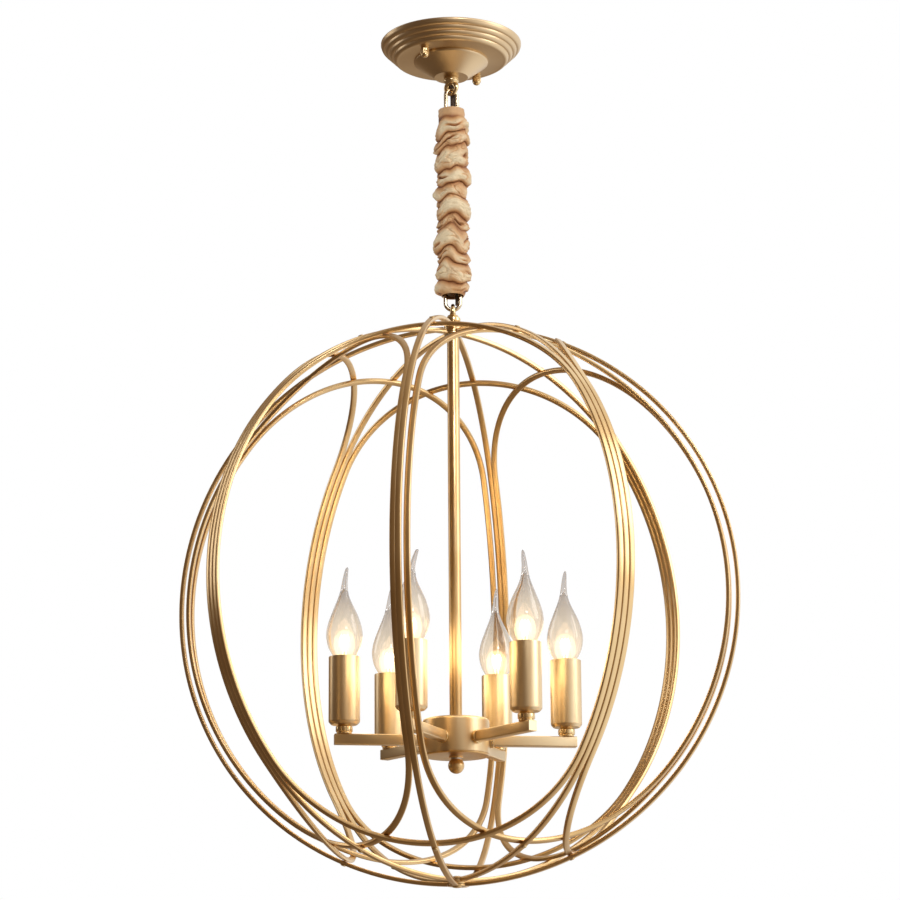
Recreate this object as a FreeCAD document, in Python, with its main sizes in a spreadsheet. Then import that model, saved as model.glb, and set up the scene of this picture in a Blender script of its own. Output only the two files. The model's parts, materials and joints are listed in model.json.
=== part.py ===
import FreeCAD, Part
import Sketcher
import math
import os

from FreeCAD import Placement, Rotation, Vector

# Orb chandelier. Millimetres, +Z up. The origin is on the ceiling plane, on the fitting's axis,
# and the fitting hangs towards -Z. The front of the cage, towards -Y, has one of its meridians.

doc = FreeCAD.newDocument("orb_chandelier")
sheet = doc.addObject("Spreadsheet::Sheet", "sizes")

DRIVING_SIZES = {
    # ceiling canopy and what holds it
    "canopy_radius": 71.0,
    "canopy_depth": 36.4,
    "canopy_wall": 1.0,
    "canopy_lip": 2.2,
    "bead_depth": 16.3,
    "bead_inset": 16.5,
    "bead_round": 3.6,
    "cone_radius": 37.5,
    "cone_foot_radius": 17.0,
    "cone_shoulder": 2.0,
    "strap_length": 106.0,
    "strap_width": 20.0,
    "strap_thick": 2.0,
    "strap_crank": 6.0,
    "stud_reach": 46.0,
    "stud_radius": 2.0,
    "stud_head_radius": 4.0,
    "stud_head_height": 2.5,
    "cap_nut_radius": 4.3,
    "cap_nut_height": 11.0,
    "fixing_reach": 28.0,
    "fixing_hole_radius": 2.5,
    # hollow threaded stems and their nuts
    "stem_radius": 4.9,
    "stem_bore_radius": 3.2,
    "thread_gap": 0.1,
    "nut_height": 3.0,
    "nut_radius": 8.0,
    # loops, links, sleeve and supply lead
    "collar_radius": 7.5,
    "collar_height": 4.5,
    "eye_collar_height": 8.0,
    "loop_wire_radius": 1.9,
    "loop_bore_radius": 4.2,
    "loop_sink": 1.0,
    "link_wire": 4.0,
    "link_width": 18.5,
    "link_length": 33.6,
    "hang_gap": 0.3,
    "sleeve_top_gap": 11.7,
    "sleeve_length": 201.6,
    "sleeve_bore_radius": 9.8,
    "sleeve_mouth_radius": 11.4,
    "sleeve_radius": 19.2,
    "lead_radius": 2.5,
    "lead_gap": 0.3,
    # cage of flat bars
    "cage_radius": 275.0,
    "bar_width": 6.0,
    "bar_depth": 4.0,
    "layer_gap": 0.3,
    "pole_pad_radius": 9.0,
    "pole_pad_proud": 0.2,
    "rivet_radius": 2.4,
    "rivet_head_radius": 4.6,
    "rivet_head_height": 1.4,
    "screw_radius": 1.5,
    "screw_head_radius": 2.6,
    "screw_head_height": 0.9,
    "screw_gap": 0.1,
    # light frame
    "rod_length": 380.1,
    "rod_radius": 6.0,
    "rod_bore_radius": 5.0,
    "hub_radius": 32.0,
    "hub_height": 33.5,
    "hub_wall": 1.2,
    "hub_plate": 2.0,
    "hub_edge_round": 1.5,
    "finial_radius": 7.8,
    "finial_neck_radius": 6.8,
    "finial_neck": 3.2,
    "finial_drop": 8.6,
    "arm_drop": 20.3,
    "arm_side": 10.0,
    "arm_wall": 1.0,
    "arm_overhang": 9.5,
    "arm_stub_radius": 4.0,
    "arm_nut_radius": 6.5,
    "arm_nut_height": 4.0,
    "candle_reach": 107.0,
    "candle_collar_radius": 8.6,
    "candle_collar_neck": 6.2,
    "candle_collar_height": 9.0,
    "candle_stem_radius": 3.0,
    "cup_radius": 15.0,
    "cup_height": 65.0,
    "cup_wall": 1.0,
    "cup_round": 2.5,
    "holder_radius": 12.5,
    "holder_foot_radius": 8.5,
    "holder_foot_height": 28.0,
    "holder_sink": 6.0,
    # flame lamps
    "lamp_cap_radius": 6.9,
    "lamp_cap_height": 21.0,
    "lamp_contact_radius": 2.6,
    "lamp_contact_height": 3.5,
    "lamp_cap_gap": 0.2,
    "lamp_neck_radius": 7.0,
    "lamp_radius": 17.5,
    "lamp_belly_height": 26.5,
    "lamp_waist_radius": 9.4,
    "lamp_waist_height": 55.5,
    "lamp_tip_radius": 2.6,
    "lamp_tip_start": 77.0,
    "lamp_tip_height": 96.0,
    "lamp_tip_lean": 6.0,
    "lamp_glass": 0.8,
}
WINDOW_COUNT = 8          # meridians of the cage, 45 degrees apart
HIDDEN_LINKS = 7          # chain links inside the sleeve
CANDLES = 6
PETAL_RISE = 30.0         # latitude of the middle of a petal's rounded end, degrees
BEADS = 4                 # rounded steps on the canopy
SLEEVE_FOLDS = 14
STUD_TURN = 66.0          # angles about the axis, degrees from +X
LOOP_TURN = 67.0
TOP_LINK_TURN = 50.0
CHAIN_TURN = 30.0
UPPER_LEAD_SLANT = 20.0   # how far round an end link's side wire the lead lies
LOWER_LEAD_SLANT = 30.0
BOTTOM_LINK_TURN = 10.0
ARM_TURN = 18.0

for row, (alias, number) in enumerate(DRIVING_SIZES.items(), start=1):
    sheet.set(f"A{row}", alias)
    sheet.set(f"B{row}", str(number))
    sheet.setAlias(f"B{row}", alias)
doc.recompute()


class Size:
    """A length that carries both its value and the spreadsheet formula that gives it."""

    def __init__(self, value, text):
        self.value = value
        self.text = text

    def __add__(self, other):
        other = as_size(other)
        return Size(self.value + other.value, f"({self.text} + {other.text})")

    def __sub__(self, other):
        other = as_size(other)
        return Size(self.value - other.value, f"({self.text} - {other.text})")

    def __mul__(self, factor):
        return Size(self.value * factor, f"({self.text} * {factor:.9f})")

    def __neg__(self):
        return self * -1.0


def as_size(number):
    return number if isinstance(number, Size) else Size(float(number), f"{float(number):.9f}")


def size(alias):
    return Size(float(sheet.get(alias)), f"sizes.{alias}")


def bind(item, prop, length):
    """Sets a property and ties it to its spreadsheet formula."""
    length = as_size(length)
    if "." not in prop:
        setattr(item, prop, length.value)
    item.setExpression(prop, length.text)


def place(item, base=(0, 0, 0), rotation=None):
    """Puts an object at a base point whose coordinates may be sizes."""
    spot = [as_size(entry) for entry in base]
    item.Placement = Placement(Vector(*(entry.value for entry in spot)), rotation or Rotation())
    for axis, entry, given in zip("xyz", spot, base):
        if isinstance(given, Size):
            item.setExpression(f"Placement.Base.{axis}", entry.text)
    return item


def turned(degrees):
    return Rotation(Vector(0, 0, 1), degrees)


def around(radius, degrees):
    """x and y of a point at a radius and an angle about the axis."""
    angle = math.radians(degrees)
    return radius * math.cos(angle), radius * math.sin(angle)


def cylinder(name, radius, height, base=(0, 0, 0), rotation=None):
    item = doc.addObject("Part::Cylinder", name)
    bind(item, "Radius", radius)
    bind(item, "Height", height)
    return place(item, base, rotation)


def box(name, length, width, height, base=(0, 0, 0), rotation=None):
    item = doc.addObject("Part::Box", name)
    bind(item, "Length", length)
    bind(item, "Width", width)
    bind(item, "Height", height)
    return place(item, base, rotation)


def fuse(name, *pieces):
    item = doc.addObject("Part::MultiFuse", name)
    item.Shapes = list(pieces)
    return item


def cut(name, base, *tools):
    item = doc.addObject("Part::Cut", name)
    item.Base = base
    item.Tool = tools[0] if len(tools) == 1 else fuse(f"{name}_tools", *tools)
    return item


def origin_plane(body, role):
    for feature in body.Origin.OriginFeatures:
        if feature.Role == role:
            return feature
    raise ValueError(role)


def new_body(name, base=(0, 0, 0), rotation=None):
    return place(doc.addObject("PartDesign::Body", name), base, rotation)


def sketch_on(body, name, role="XZ_Plane", lift=None):
    sketch = body.newObject("Sketcher::SketchObject", name)
    sketch.AttachmentSupport = [(origin_plane(body, role), "")]
    sketch.MapMode = "FlatFace"
    if lift is not None:
        sketch.AttachmentOffset = Placement(Vector(0, 0, as_size(lift).value), Rotation())
        sketch.setExpression("AttachmentOffset.Base.z", as_size(lift).text)
    return sketch


def arc_between(start, end, radius):
    """Arc with its centre on the left of the way from start to end for a positive radius."""
    chord = end - start
    middle = (start + end) * 0.5
    reach = math.sqrt(max(radius * radius - chord.Length * chord.Length / 4.0, 0.0))
    left = Vector(-chord.y, chord.x, 0).normalize()
    centre = middle + left * math.copysign(reach, radius)
    first, last = (start, end) if radius > 0 else (end, start)
    angle_1 = math.atan2(first.y - centre.y, first.x - centre.x)
    angle_2 = math.atan2(last.y - centre.y, last.x - centre.x)
    if angle_2 < angle_1:
        angle_2 += 2 * math.pi
    circle = Part.Circle(centre, Vector(0, 0, 1), abs(radius))
    return Part.ArcOfCircle(circle, angle_1, angle_2)


def draw_outline(sketch, outline):
    """Closed outline of corners (x, y), or (x, y, radius) where an arc leads to the next corner."""
    corners = [Vector(as_size(c[0]).value, as_size(c[1]).value, 0) for c in outline]
    ends = []
    for index, corner in enumerate(outline):
        start = corners[index]
        end = corners[(index + 1) % len(corners)]
        if len(corner) == 3:
            edge = sketch.addGeometry(arc_between(start, end, corner[2].value), False)
            ends.append((edge, 1, 2) if corner[2].value > 0 else (edge, 2, 1))
        else:
            edge = sketch.addGeometry(Part.LineSegment(start, end), False)
            ends.append((edge, 1, 2))
    for index, corner in enumerate(outline):
        edge, first, last = ends[index]
        next_edge, next_first, _ = ends[(index + 1) % len(ends)]
        sketch.addConstraint(Sketcher.Constraint("Coincident", edge, last, next_edge, next_first))
        for kind, axis, coordinate in (("DistanceX", -2, corner[0]), ("DistanceY", -1, corner[1])):
            length = as_size(coordinate)
            if abs(length.value) < 1e-9:
                sketch.addConstraint(Sketcher.Constraint("PointOnObject", edge, first, axis))
                continue
            rule = Sketcher.Constraint(kind, -1, 1, edge, first, length.value)
            sketch.setExpression(f"Constraints[{sketch.addConstraint(rule)}]", length.text)
        if len(corner) == 3:
            radius = corner[2] if corner[2].value > 0 else -corner[2]
            rule = Sketcher.Constraint("Radius", edge, radius.value)
            sketch.setExpression(f"Constraints[{sketch.addConstraint(rule)}]", radius.text)


def draw_circle(sketch, radius, x=0, y=0):
    """Circle whose centre is on the sketch's origin or at a bound place."""
    spot = Vector(as_size(x).value, as_size(y).value, 0)
    edge = sketch.addGeometry(Part.Circle(spot, Vector(0, 0, 1), as_size(radius).value), False)
    for kind, axis, coordinate in (("DistanceX", -2, x), ("DistanceY", -1, y)):
        length = as_size(coordinate)
        if abs(length.value) < 1e-9:
            sketch.addConstraint(Sketcher.Constraint("PointOnObject", edge, 3, axis))
            continue
        rule = Sketcher.Constraint(kind, -1, 1, edge, 3, length.value)
        sketch.setExpression(f"Constraints[{sketch.addConstraint(rule)}]", length.text)
    rule = Sketcher.Constraint("Radius", edge, as_size(radius).value)
    sketch.setExpression(f"Constraints[{sketch.addConstraint(rule)}]", as_size(radius).text)


def revolve(body, name, outline, role="XZ_Plane"):
    """Solid of revolution about the sketch's upright axis."""
    sketch = sketch_on(body, f"{name}_outline", role)
    draw_outline(sketch, outline)
    feature = body.newObject("PartDesign::Revolution", name)
    feature.Profile = (sketch, [""])
    feature.ReferenceAxis = (sketch, ["V_Axis"])
    feature.Angle = 360.0
    return feature


def pad(body, name, sketch, length):
    feature = body.newObject("PartDesign::Pad", name)
    feature.Profile = (sketch, [""])
    bind(feature, "Length", length)
    return feature


def pocket_up(body, name, sketch, length):
    """Pocket that cuts from its sketch towards +Z of the body."""
    feature = body.newObject("PartDesign::Pocket", name)
    feature.Profile = (sketch, [""])
    bind(feature, "Length", length)
    feature.Reversed = True
    return feature


nodes = {}


def node(label, item):
    item.Label = label
    nodes[label] = item
    return item


# ---- heights, all from the ceiling downwards --------------------------------------------------

LOOP_RING = size("loop_bore_radius") + size("loop_wire_radius")       # centre line of a loop
LOOP_OUTER = LOOP_RING + size("loop_wire_radius")
HANG = size("loop_wire_radius") + size("link_wire") * 0.5 + size("hang_gap")
LINK_BEND = (size("link_width") - size("link_wire")) * 0.5
LINK_SPAN = size("link_length") - size("link_wire")
LINK_DROP = LINK_SPAN - size("link_wire") - size("hang_gap")

CONE_FOOT = -size("canopy_depth")
LOOP_CENTRE = CONE_FOOT - size("collar_height") - LOOP_OUTER + size("loop_sink")
TOP_LINK_BAR = LOOP_CENTRE - LOOP_RING + HANG
TOP_LINK_CENTRE = TOP_LINK_BAR - LINK_SPAN * 0.5
BOTTOM_LINK_CENTRE = TOP_LINK_CENTRE - LINK_DROP * (HIDDEN_LINKS + 1)
BOTTOM_LINK_BAR = BOTTOM_LINK_CENTRE - LINK_SPAN * 0.5
EYE_CENTRE = BOTTOM_LINK_BAR + HANG - LOOP_RING
EYE_COLLAR_TOP = EYE_CENTRE - LOOP_OUTER + size("loop_sink")
EYE_COLLAR_FOOT = EYE_COLLAR_TOP - size("eye_collar_height")
CAGE_CENTRE = EYE_COLLAR_FOOT - size("layer_gap") - size("cage_radius")

LAYER_STEP = size("bar_depth") + size("layer_gap")
POLE_STACK = LAYER_STEP + size("bar_depth") + size("pole_pad_proud")
CROWN_NUT_TOP = CAGE_CENTRE + size("cage_radius") - POLE_STACK
ROD_TOP = CROWN_NUT_TOP - size("nut_height")
HUB_TOP = ROD_TOP - size("rod_length")
HUB_PLATE_TOP = HUB_TOP - size("hub_height")
HUB_FOOT = HUB_PLATE_TOP - size("hub_plate")
ARM_CENTRE = HUB_TOP - size("arm_drop")
ARM_TOP = ARM_CENTRE + size("arm_side") * 0.5
CUP_FOOT = ARM_TOP + size("candle_collar_height")
CUP_RIM = CUP_FOOT + size("cup_height")
HOLDER_TOP = CUP_RIM - size("holder_sink")
LAMP_SEAT = HOLDER_TOP + size("lamp_cap_gap")


# ---- ceiling end ------------------------------------------------------------------------------

def make_canopy():
    """Spun pan: lip, four beads, flat band and cone, open towards the ceiling."""
    depth = size("canopy_depth")
    wall = size("canopy_wall")
    radius = size("canopy_radius")
    band = depth - size("bead_depth") - size("canopy_lip")
    band_radius = radius - size("bead_inset")
    body = new_body("canopy_body", (0, 0, CONE_FOOT))
    hole = size("stem_radius") + size("thread_gap")
    outline = [(hole, 0.0), (size("cone_foot_radius"), 0.0),
               (size("cone_radius"), band - size("cone_shoulder"), size("cone_shoulder") * 1.2),
               (size("cone_radius") - size("cone_shoulder") * 0.5, band), (band_radius, band)]
    for step in range(BEADS):
        share = step / BEADS
        corner = (band_radius + size("bead_inset") * share, band + size("bead_depth") * share)
        if step:
            outline.append(corner + (size("bead_round"),))
        else:
            outline[-1] = corner + (size("bead_round"),)
    outline += [(radius, band + size("bead_depth")), (radius, depth), (radius - wall * 1.4, depth),
                (radius - wall * 1.4, band + size("bead_depth")),
                (band_radius - wall, band + wall),
                (size("cone_radius") - size("cone_shoulder") * 0.5 - wall, band + wall),
                (size("cone_foot_radius") - wall * 0.4, wall), (hole, wall)]
    revolve(body, "canopy_pan", outline)
    holes = sketch_on(body, "canopy_stud_holes", "XY_Plane", band - wall)
    for side in (0, 180):
        x, y = (size("stud_reach") * c for c in direction(STUD_TURN + side))
        draw_circle(holes, size("stud_radius") + size("screw_gap") * 2, x, y)
    pocket_up(body, "canopy_stud_cut", holes, wall * 4)
    return node("canopy", body)


def direction(degrees):
    return math.cos(math.radians(degrees)), math.sin(math.radians(degrees))


BAND_FACE = CONE_FOOT + size("canopy_depth") - size("bead_depth") - size("canopy_lip")


def make_ceiling_bracket():
    """Cranked strap with two holes for the ceiling screws and two for the studs."""
    half = size("strap_length") * 0.5
    thick = size("strap_thick")
    crank = size("strap_crank")
    knee = size("stud_reach") - size("stud_head_radius") - crank * 0.7
    foot = knee + crank * 0.5
    body = new_body("ceiling_bracket_body", rotation=turned(STUD_TURN))
    sketch = sketch_on(body, "strap_side", "XZ_Plane")
    low = -crank - thick
    draw_outline(sketch, [(-half, low), (-foot, low), (-knee, -thick), (knee, -thick),
                          (foot, low), (half, low), (half, -crank), (foot + thick * 0.4, -crank),
                          (knee + thick * 0.4, 0), (-knee - thick * 0.4, 0),
                          (-foot - thick * 0.4, -crank), (-half, -crank)])
    strap = pad(body, "strap", sketch, size("strap_width"))
    strap.Midplane = True
    holes = sketch_on(body, "strap_hole_plan", "XY_Plane", low - 1)
    for side in (-1, 1):
        draw_circle(holes, size("fixing_hole_radius"), size("fixing_reach") * side, 0)
        draw_circle(holes, size("stud_radius") + size("screw_gap"), size("stud_reach") * side, 0)
    pocket_up(body, "strap_holes", holes, crank + thick + 3)
    return node("ceiling_bracket", body)


STRAP_END_TOP = -size("strap_crank")


def make_bracket_studs():
    """Two screws whose heads bear on the strap and whose shanks pass through the canopy."""
    pieces = []
    foot = BAND_FACE - size("cap_nut_height") * 0.7
    for side in (0, 180):
        x, y = (size("stud_reach") * c for c in direction(STUD_TURN + side))
        shank = cylinder(f"stud_shank_{side}", size("stud_radius"), STRAP_END_TOP - foot,
                         (x, y, foot))
        head = cylinder(f"stud_head_{side}", size("stud_head_radius"), size("stud_head_height"),
                        (x, y, STRAP_END_TOP))
        pieces.append(fuse(f"stud_{side}", shank, head))
    studs = doc.addObject("Part::Compound", "bracket_studs_pair")
    studs.Links = pieces
    return node("bracket_studs", studs)


def make_canopy_nuts():
    """Two knurled cap nuts with domed ends."""
    pair = []
    radius = size("cap_nut_radius")
    height = size("cap_nut_height")
    bore = size("stud_radius") + size("screw_gap")
    for side in (0, 180):
        x, y = (size("stud_reach") * c for c in direction(STUD_TURN + side))
        body = new_body(f"cap_nut_{side}", (x, y, BAND_FACE - height))
        revolve(body, f"cap_nut_turning_{side}",
                [(0, 0), (radius * 0.6, 0, radius * 0.5), (radius, radius * 0.4),
                 (radius, height - radius * 0.5), (radius * 0.8, height - radius * 0.4),
                 (radius * 0.8, height), (bore, height), (bore, height * 0.25),
                 (0, height * 0.25)])
        pair.append(body)
    nuts = doc.addObject("Part::Compound", "canopy_nuts_pair")
    nuts.Links = pair
    return node("canopy_nuts", nuts)


def make_loop(name, centre, collar, stem, turn, upward):
    """Ring of round wire with a turned collar and a hollow threaded stem.

    upward is 1 where the stem leaves towards the ceiling and -1 where it goes down.
    """
    spin = turned(turn) * Rotation(Vector(0, 1, 0), 90)
    ring = doc.addObject("Part::Torus", f"{name}_ring")
    bind(ring, "Radius1", LOOP_RING)
    bind(ring, "Radius2", size("loop_wire_radius"))
    place(ring, (0, 0, centre), spin)
    face = centre + (LOOP_OUTER - size("loop_sink")) * upward
    end = face + (collar + stem) * upward
    bell_height = size("loop_wire_radius") * 1.6
    body = new_body(f"{name}_turning", (0, 0, face - bell_height * upward),
                    None if upward > 0 else Rotation(Vector(1, 0, 0), 180))
    radius = size("collar_radius")
    bore = size("stem_bore_radius")
    shank = size("stem_radius")
    groove = radius * 0.9
    revolve(body, f"{name}_collar",
            [(bore, 0), (radius * 0.72, 0), (radius * 0.92, bell_height),
             (radius, bell_height + collar * 0.08), (radius, bell_height + collar * 0.42),
             (groove, bell_height + collar * 0.5), (radius, bell_height + collar * 0.58),
             (radius, bell_height + collar), (shank, bell_height + collar),
             (shank, bell_height + collar + stem), (bore, bell_height + collar + stem)])
    low, height = (face - bell_height, end - face + bell_height)
    if upward < 0:
        low, height = (end, face + bell_height - end)
    passage = cylinder(f"{name}_passage", bore, height, (0, 0, low))
    return node(name, cut(f"{name}_cut", fuse(f"{name}_body", ring, body), passage))


def make_hex_nut(name, foot):
    """Six-sided nut on a threaded stem."""
    prism = doc.addObject("Part::Prism", f"{name}_prism")
    prism.Polygon = 6
    bind(prism, "Circumradius", size("nut_radius"))
    bind(prism, "Height", size("nut_height"))
    place(prism, (0, 0, foot))
    hole = cylinder(f"{name}_hole", size("stem_radius") + size("thread_gap"),
                    size("nut_height") + 2, (0, 0, foot - 1))
    return node(name, cut(f"{name}_cut", prism, hole))


# ---- chain, sleeve and lead -------------------------------------------------------------------

def chain_link(name, centre, turn):
    """Round wire bent to two straight sides and two half rings."""
    wire = size("link_wire") * 0.5
    straight = size("link_length") - size("link_width")
    pieces = []
    for side in (-1, 1):
        x, y = ((LINK_BEND * side) * c for c in direction(turn))
        pieces.append(cylinder(f"{name}_side_{side + 1}", wire, straight,
                               (x, y, centre - straight * 0.5)))
        bend = doc.addObject("Part::Torus", f"{name}_bend_{side + 1}")
        bind(bend, "Radius1", LINK_BEND)
        bind(bend, "Radius2", wire)
        bend.Angle3 = 180.0
        upright = turned(turn) * Rotation(Vector(1, 0, 0), 90 * side)
        pieces.append(place(bend, (0, 0, centre + straight * (0.5 * side)), upright))
    return fuse(f"{name}_wire", *pieces)


def make_chain_links():
    """The links inside the sleeve, each a quarter turn from the one above."""
    links = []
    for index in range(1, HIDDEN_LINKS + 1):
        centre = TOP_LINK_CENTRE - LINK_DROP * index
        links.append(chain_link(f"hidden_link_{index}", centre, CHAIN_TURN + 90 * index))
    chain = doc.addObject("Part::Compound", "hidden_links")
    chain.Links = links
    return node("chain_links", chain)


SLEEVE_TOP = LOOP_CENTRE - LOOP_OUTER - size("sleeve_top_gap")
SLEEVE_FOOT = SLEEVE_TOP - size("sleeve_length")


def fold_circles():
    """Circles of the ruched sleeve from its foot up: four for each fold, uneven as gathered cloth."""
    top = SLEEVE_TOP.value
    length = size("sleeve_length").value
    full = size("sleeve_radius").value
    mouth = size("sleeve_mouth_radius").value
    pinch = mouth + 1.1
    circles = []
    edges = [0.0]
    for fold in range(SLEEVE_FOLDS):
        edges.append(edges[-1] + 1.0 + 0.28 * math.sin(2.3 * fold + 0.4))
    spans = [edge / edges[-1] * length for edge in edges]
    for fold in range(SLEEVE_FOLDS):
        low, high = spans[fold], spans[fold + 1]
        plump = full - 1.5 + 1.1 * math.sin(1.9 * fold + 1.0)
        lean_x = 0.9 * math.sin(2.7 * fold)
        lean_y = 0.9 * math.cos(1.7 * fold)
        waist = pinch if fold == 0 else 0.78 * plump
        height = high - low
        for share, radius in ((0.0, waist), (0.28, plump), (0.68, plump - 0.6)):
            hold = 0.0 if fold == 0 and share == 0.0 else 1.0
            z = top - length + low + height * share
            circles.append((Vector(lean_x * hold, lean_y * hold, z), radius))
    circles.append((Vector(0, 0, top), pinch))
    return circles


def make_chain_sleeve():
    """Gathered cloth tube with flared mouths that leave room for the end links."""
    up = Vector(0, 0, 1)
    wires = [Part.Wire(Part.Circle(spot, up, radius).toShape()) for spot, radius in fold_circles()]
    outside = Part.makeLoft(wires, True, True)
    length = size("sleeve_length").value
    bore = size("sleeve_bore_radius").value
    mouth = size("sleeve_mouth_radius").value
    foot = SLEEVE_FOOT.value
    flare = size("link_width").value
    hollow = Part.makeCylinder(bore, length, Vector(0, 0, foot))
    low = Part.makeCone(mouth, bore, flare, Vector(0, 0, foot))
    high = Part.makeCone(bore, mouth, flare, Vector(0, 0, foot + length - flare))
    sleeve = doc.addObject("Part::Feature", "chain_sleeve_cloth")
    sleeve.Shape = outside.cut(hollow.fuse([low, high]).removeSplitter())
    return node("chain_sleeve", sleeve)


def make_lead(name, low, high, along, beside, turn):
    """Straight stretch of the supply lead: along and beside the plane of a link."""
    c, s = direction(turn)
    x = along * c - beside * s
    y = along * s + beside * c
    return node(name, cylinder(f"{name}_flex", size("lead_radius"), high - low, (x, y, low)))


# ---- cage -------------------------------------------------------------------------------------

def layer_outer(layer):
    """Outside radius of a layer of bars: 0 is the outermost."""
    return size("cage_radius") - LAYER_STEP * layer


def make_ring(number, turn, layer, lap_outside):
    """Full ring of flat bar with half-lapped pads where it crosses its partner at the poles."""
    outer = layer_outer(layer)
    inner = outer - size("bar_depth")
    half = size("bar_width") * 0.5
    name = f"cage_ring_{number}"
    body = new_body(f"{name}_bar", (0, 0, CAGE_CENTRE), turned(turn))
    revolve(body, f"{name}_hoop", [(inner, -half), (outer, -half), (outer, half), (inner, half)],
            "XY_Plane")
    skin = (size("bar_depth") - size("layer_gap")) * 0.5
    relief = skin + size("layer_gap")
    pad_low = outer - skin if lap_outside else inner - size("pole_pad_proud")
    pad_thick = skin if lap_outside else skin + size("pole_pad_proud")
    cut_low = inner - 1 if lap_outside else outer - relief
    for pole in (1, -1):
        low = cut_low if pole > 0 else -cut_low - relief - 1
        gap = sketch_on(body, f"{name}_relief_{pole + 1}", "XY_Plane", low)
        draw_circle(gap, size("pole_pad_radius") + size("layer_gap"))
        pocket_up(body, f"{name}_lap_{pole + 1}", gap, relief + 1)
        low = pad_low if pole > 0 else -pad_low - pad_thick
        disc = sketch_on(body, f"{name}_disc_{pole + 1}", "XY_Plane", low)
        draw_circle(disc, size("pole_pad_radius"))
        pad(body, f"{name}_pad_{pole + 1}", disc, pad_thick)
    tools = [cylinder(f"{name}_stem_hole", size("stem_radius") + size("thread_gap") * 2,
                      size("bar_depth") + 4, (0, 0, CAGE_CENTRE + inner - 2)),
             cylinder(f"{name}_rivet_hole", size("rivet_radius") + size("thread_gap"),
                      size("bar_depth") + 4, (0, 0, CAGE_CENTRE - outer - 2))]
    for side in (0, 180):
        for rise in (1, -1):
            aim = sphere_point(turn + side, rise * petal_top(layer + 1))
            start = Vector(0, 0, CAGE_CENTRE.value) + aim * (inner.value - 2)
            hole = cylinder(f"{name}_screw_hole_{side}_{rise + 1}",
                            size("screw_radius") + size("screw_gap"), size("bar_depth") + 4,
                            tuple(start), Rotation(Vector(0, 0, 1), aim))
            tools.append(hole)
    return node(name, cut(f"{name}_cut", body, *tools))


def sphere_point(azimuth, latitude):
    flat = math.cos(math.radians(latitude))
    x, y = direction(azimuth)
    return Vector(flat * x, flat * y, math.sin(math.radians(latitude)))


def petal_angles(layer):
    """Side offset and end radius of a petal in degrees, seen from the middle of the cage."""
    middle = layer_outer(layer).value - size("bar_depth").value / 2
    offset = math.asin((size("bar_width").value + size("layer_gap").value) / middle)
    window = math.pi * 2 / WINDOW_COUNT
    end = math.asin(math.cos(math.radians(PETAL_RISE)) * math.sin(window)) - offset
    return math.degrees(offset), math.degrees(end)


def petal_top(layer):
    """Latitude of the middle of a petal's end."""
    return PETAL_RISE + petal_angles(layer)[1]


def petal_shape(layer):
    """Loop of flat bar on a sphere: two sides beside the meridians, two rounded ends.

    Each of the four arcs is the same bar section turned about an axis through the cage's middle.
    """
    offset, end = petal_angles(layer)
    window = 360.0 / WINDOW_COUNT
    outer = layer_outer(layer).value
    inner = outer - size("bar_depth").value
    half = size("bar_width").value / 2
    rise = math.radians(PETAL_RISE)
    sweep = math.degrees(math.atan2(math.sin(rise),
                                    math.cos(rise) * math.cos(math.radians(window))))
    out = sphere_point(window - offset, 0)
    across = sphere_point(window - offset + 90, 0)
    centre = Vector(0, 0, 0)
    corners = [out * inner - across * half, out * outer - across * half,
               out * outer + across * half, out * inner + across * half]
    section = Part.Face(Part.makePolygon(corners + corners[:1]))
    arcs = []
    side_axis = sphere_point(window + 90, 0)
    end_axis = sphere_point(0, PETAL_RISE)
    low_section = section.copy()
    low_section.rotate(centre, side_axis, sweep)
    side = low_section.revolve(centre, side_axis, -2 * sweep)
    high_section = section.copy()
    high_section.rotate(centre, side_axis, -sweep)
    tangent_point = (Rotation(side_axis, -sweep) * out).normalize()
    flat = (tangent_point - end_axis * tangent_point.dot(end_axis)).normalize()
    crown = sphere_point(0, PETAL_RISE + 90)
    reach = math.degrees(math.acos(max(-1.0, min(1.0, flat.dot(crown)))))
    turn = 2 * reach
    if tangent_point.z < 0:
        raise ValueError("side arc ends below the equator")
    top = high_section.revolve(centre, end_axis, turn)
    mirror = Vector(0, 1, 0)
    flip = Vector(0, 0, 1)
    arcs = [side, side.mirror(centre, mirror), top, top.mirror(centre, flip)]
    return arcs[0].fuse(arcs[1:]).removeSplitter()


def make_petals():
    """Eight petals: those centred on the axes in the middle layer, the others innermost."""
    shapes = {}
    for layer in (1, 2):
        loop = petal_shape(layer)
        aim_angles = (petal_top(layer), -petal_top(layer))
        outer = layer_outer(layer).value
        depth = size("bar_depth").value
        for latitude in aim_angles:
            aim = sphere_point(0, latitude)
            hole = Part.makeCylinder(size("screw_radius").value + size("screw_gap").value,
                                     depth + 4, aim * (outer - depth - 2), aim)
            loop = loop.cut(hole)
        shapes[layer] = loop
    for index in range(WINDOW_COUNT):
        layer = 1 if index % 2 == 0 else 2
        petal = doc.addObject("Part::Feature", f"petal_bar_{index + 1}")
        petal.Shape = shapes[layer]
        place(petal, (0, 0, CAGE_CENTRE), turned(-90 + index * 360.0 / WINDOW_COUNT))
        node(f"cage_petal_{index + 1}", petal)


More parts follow.
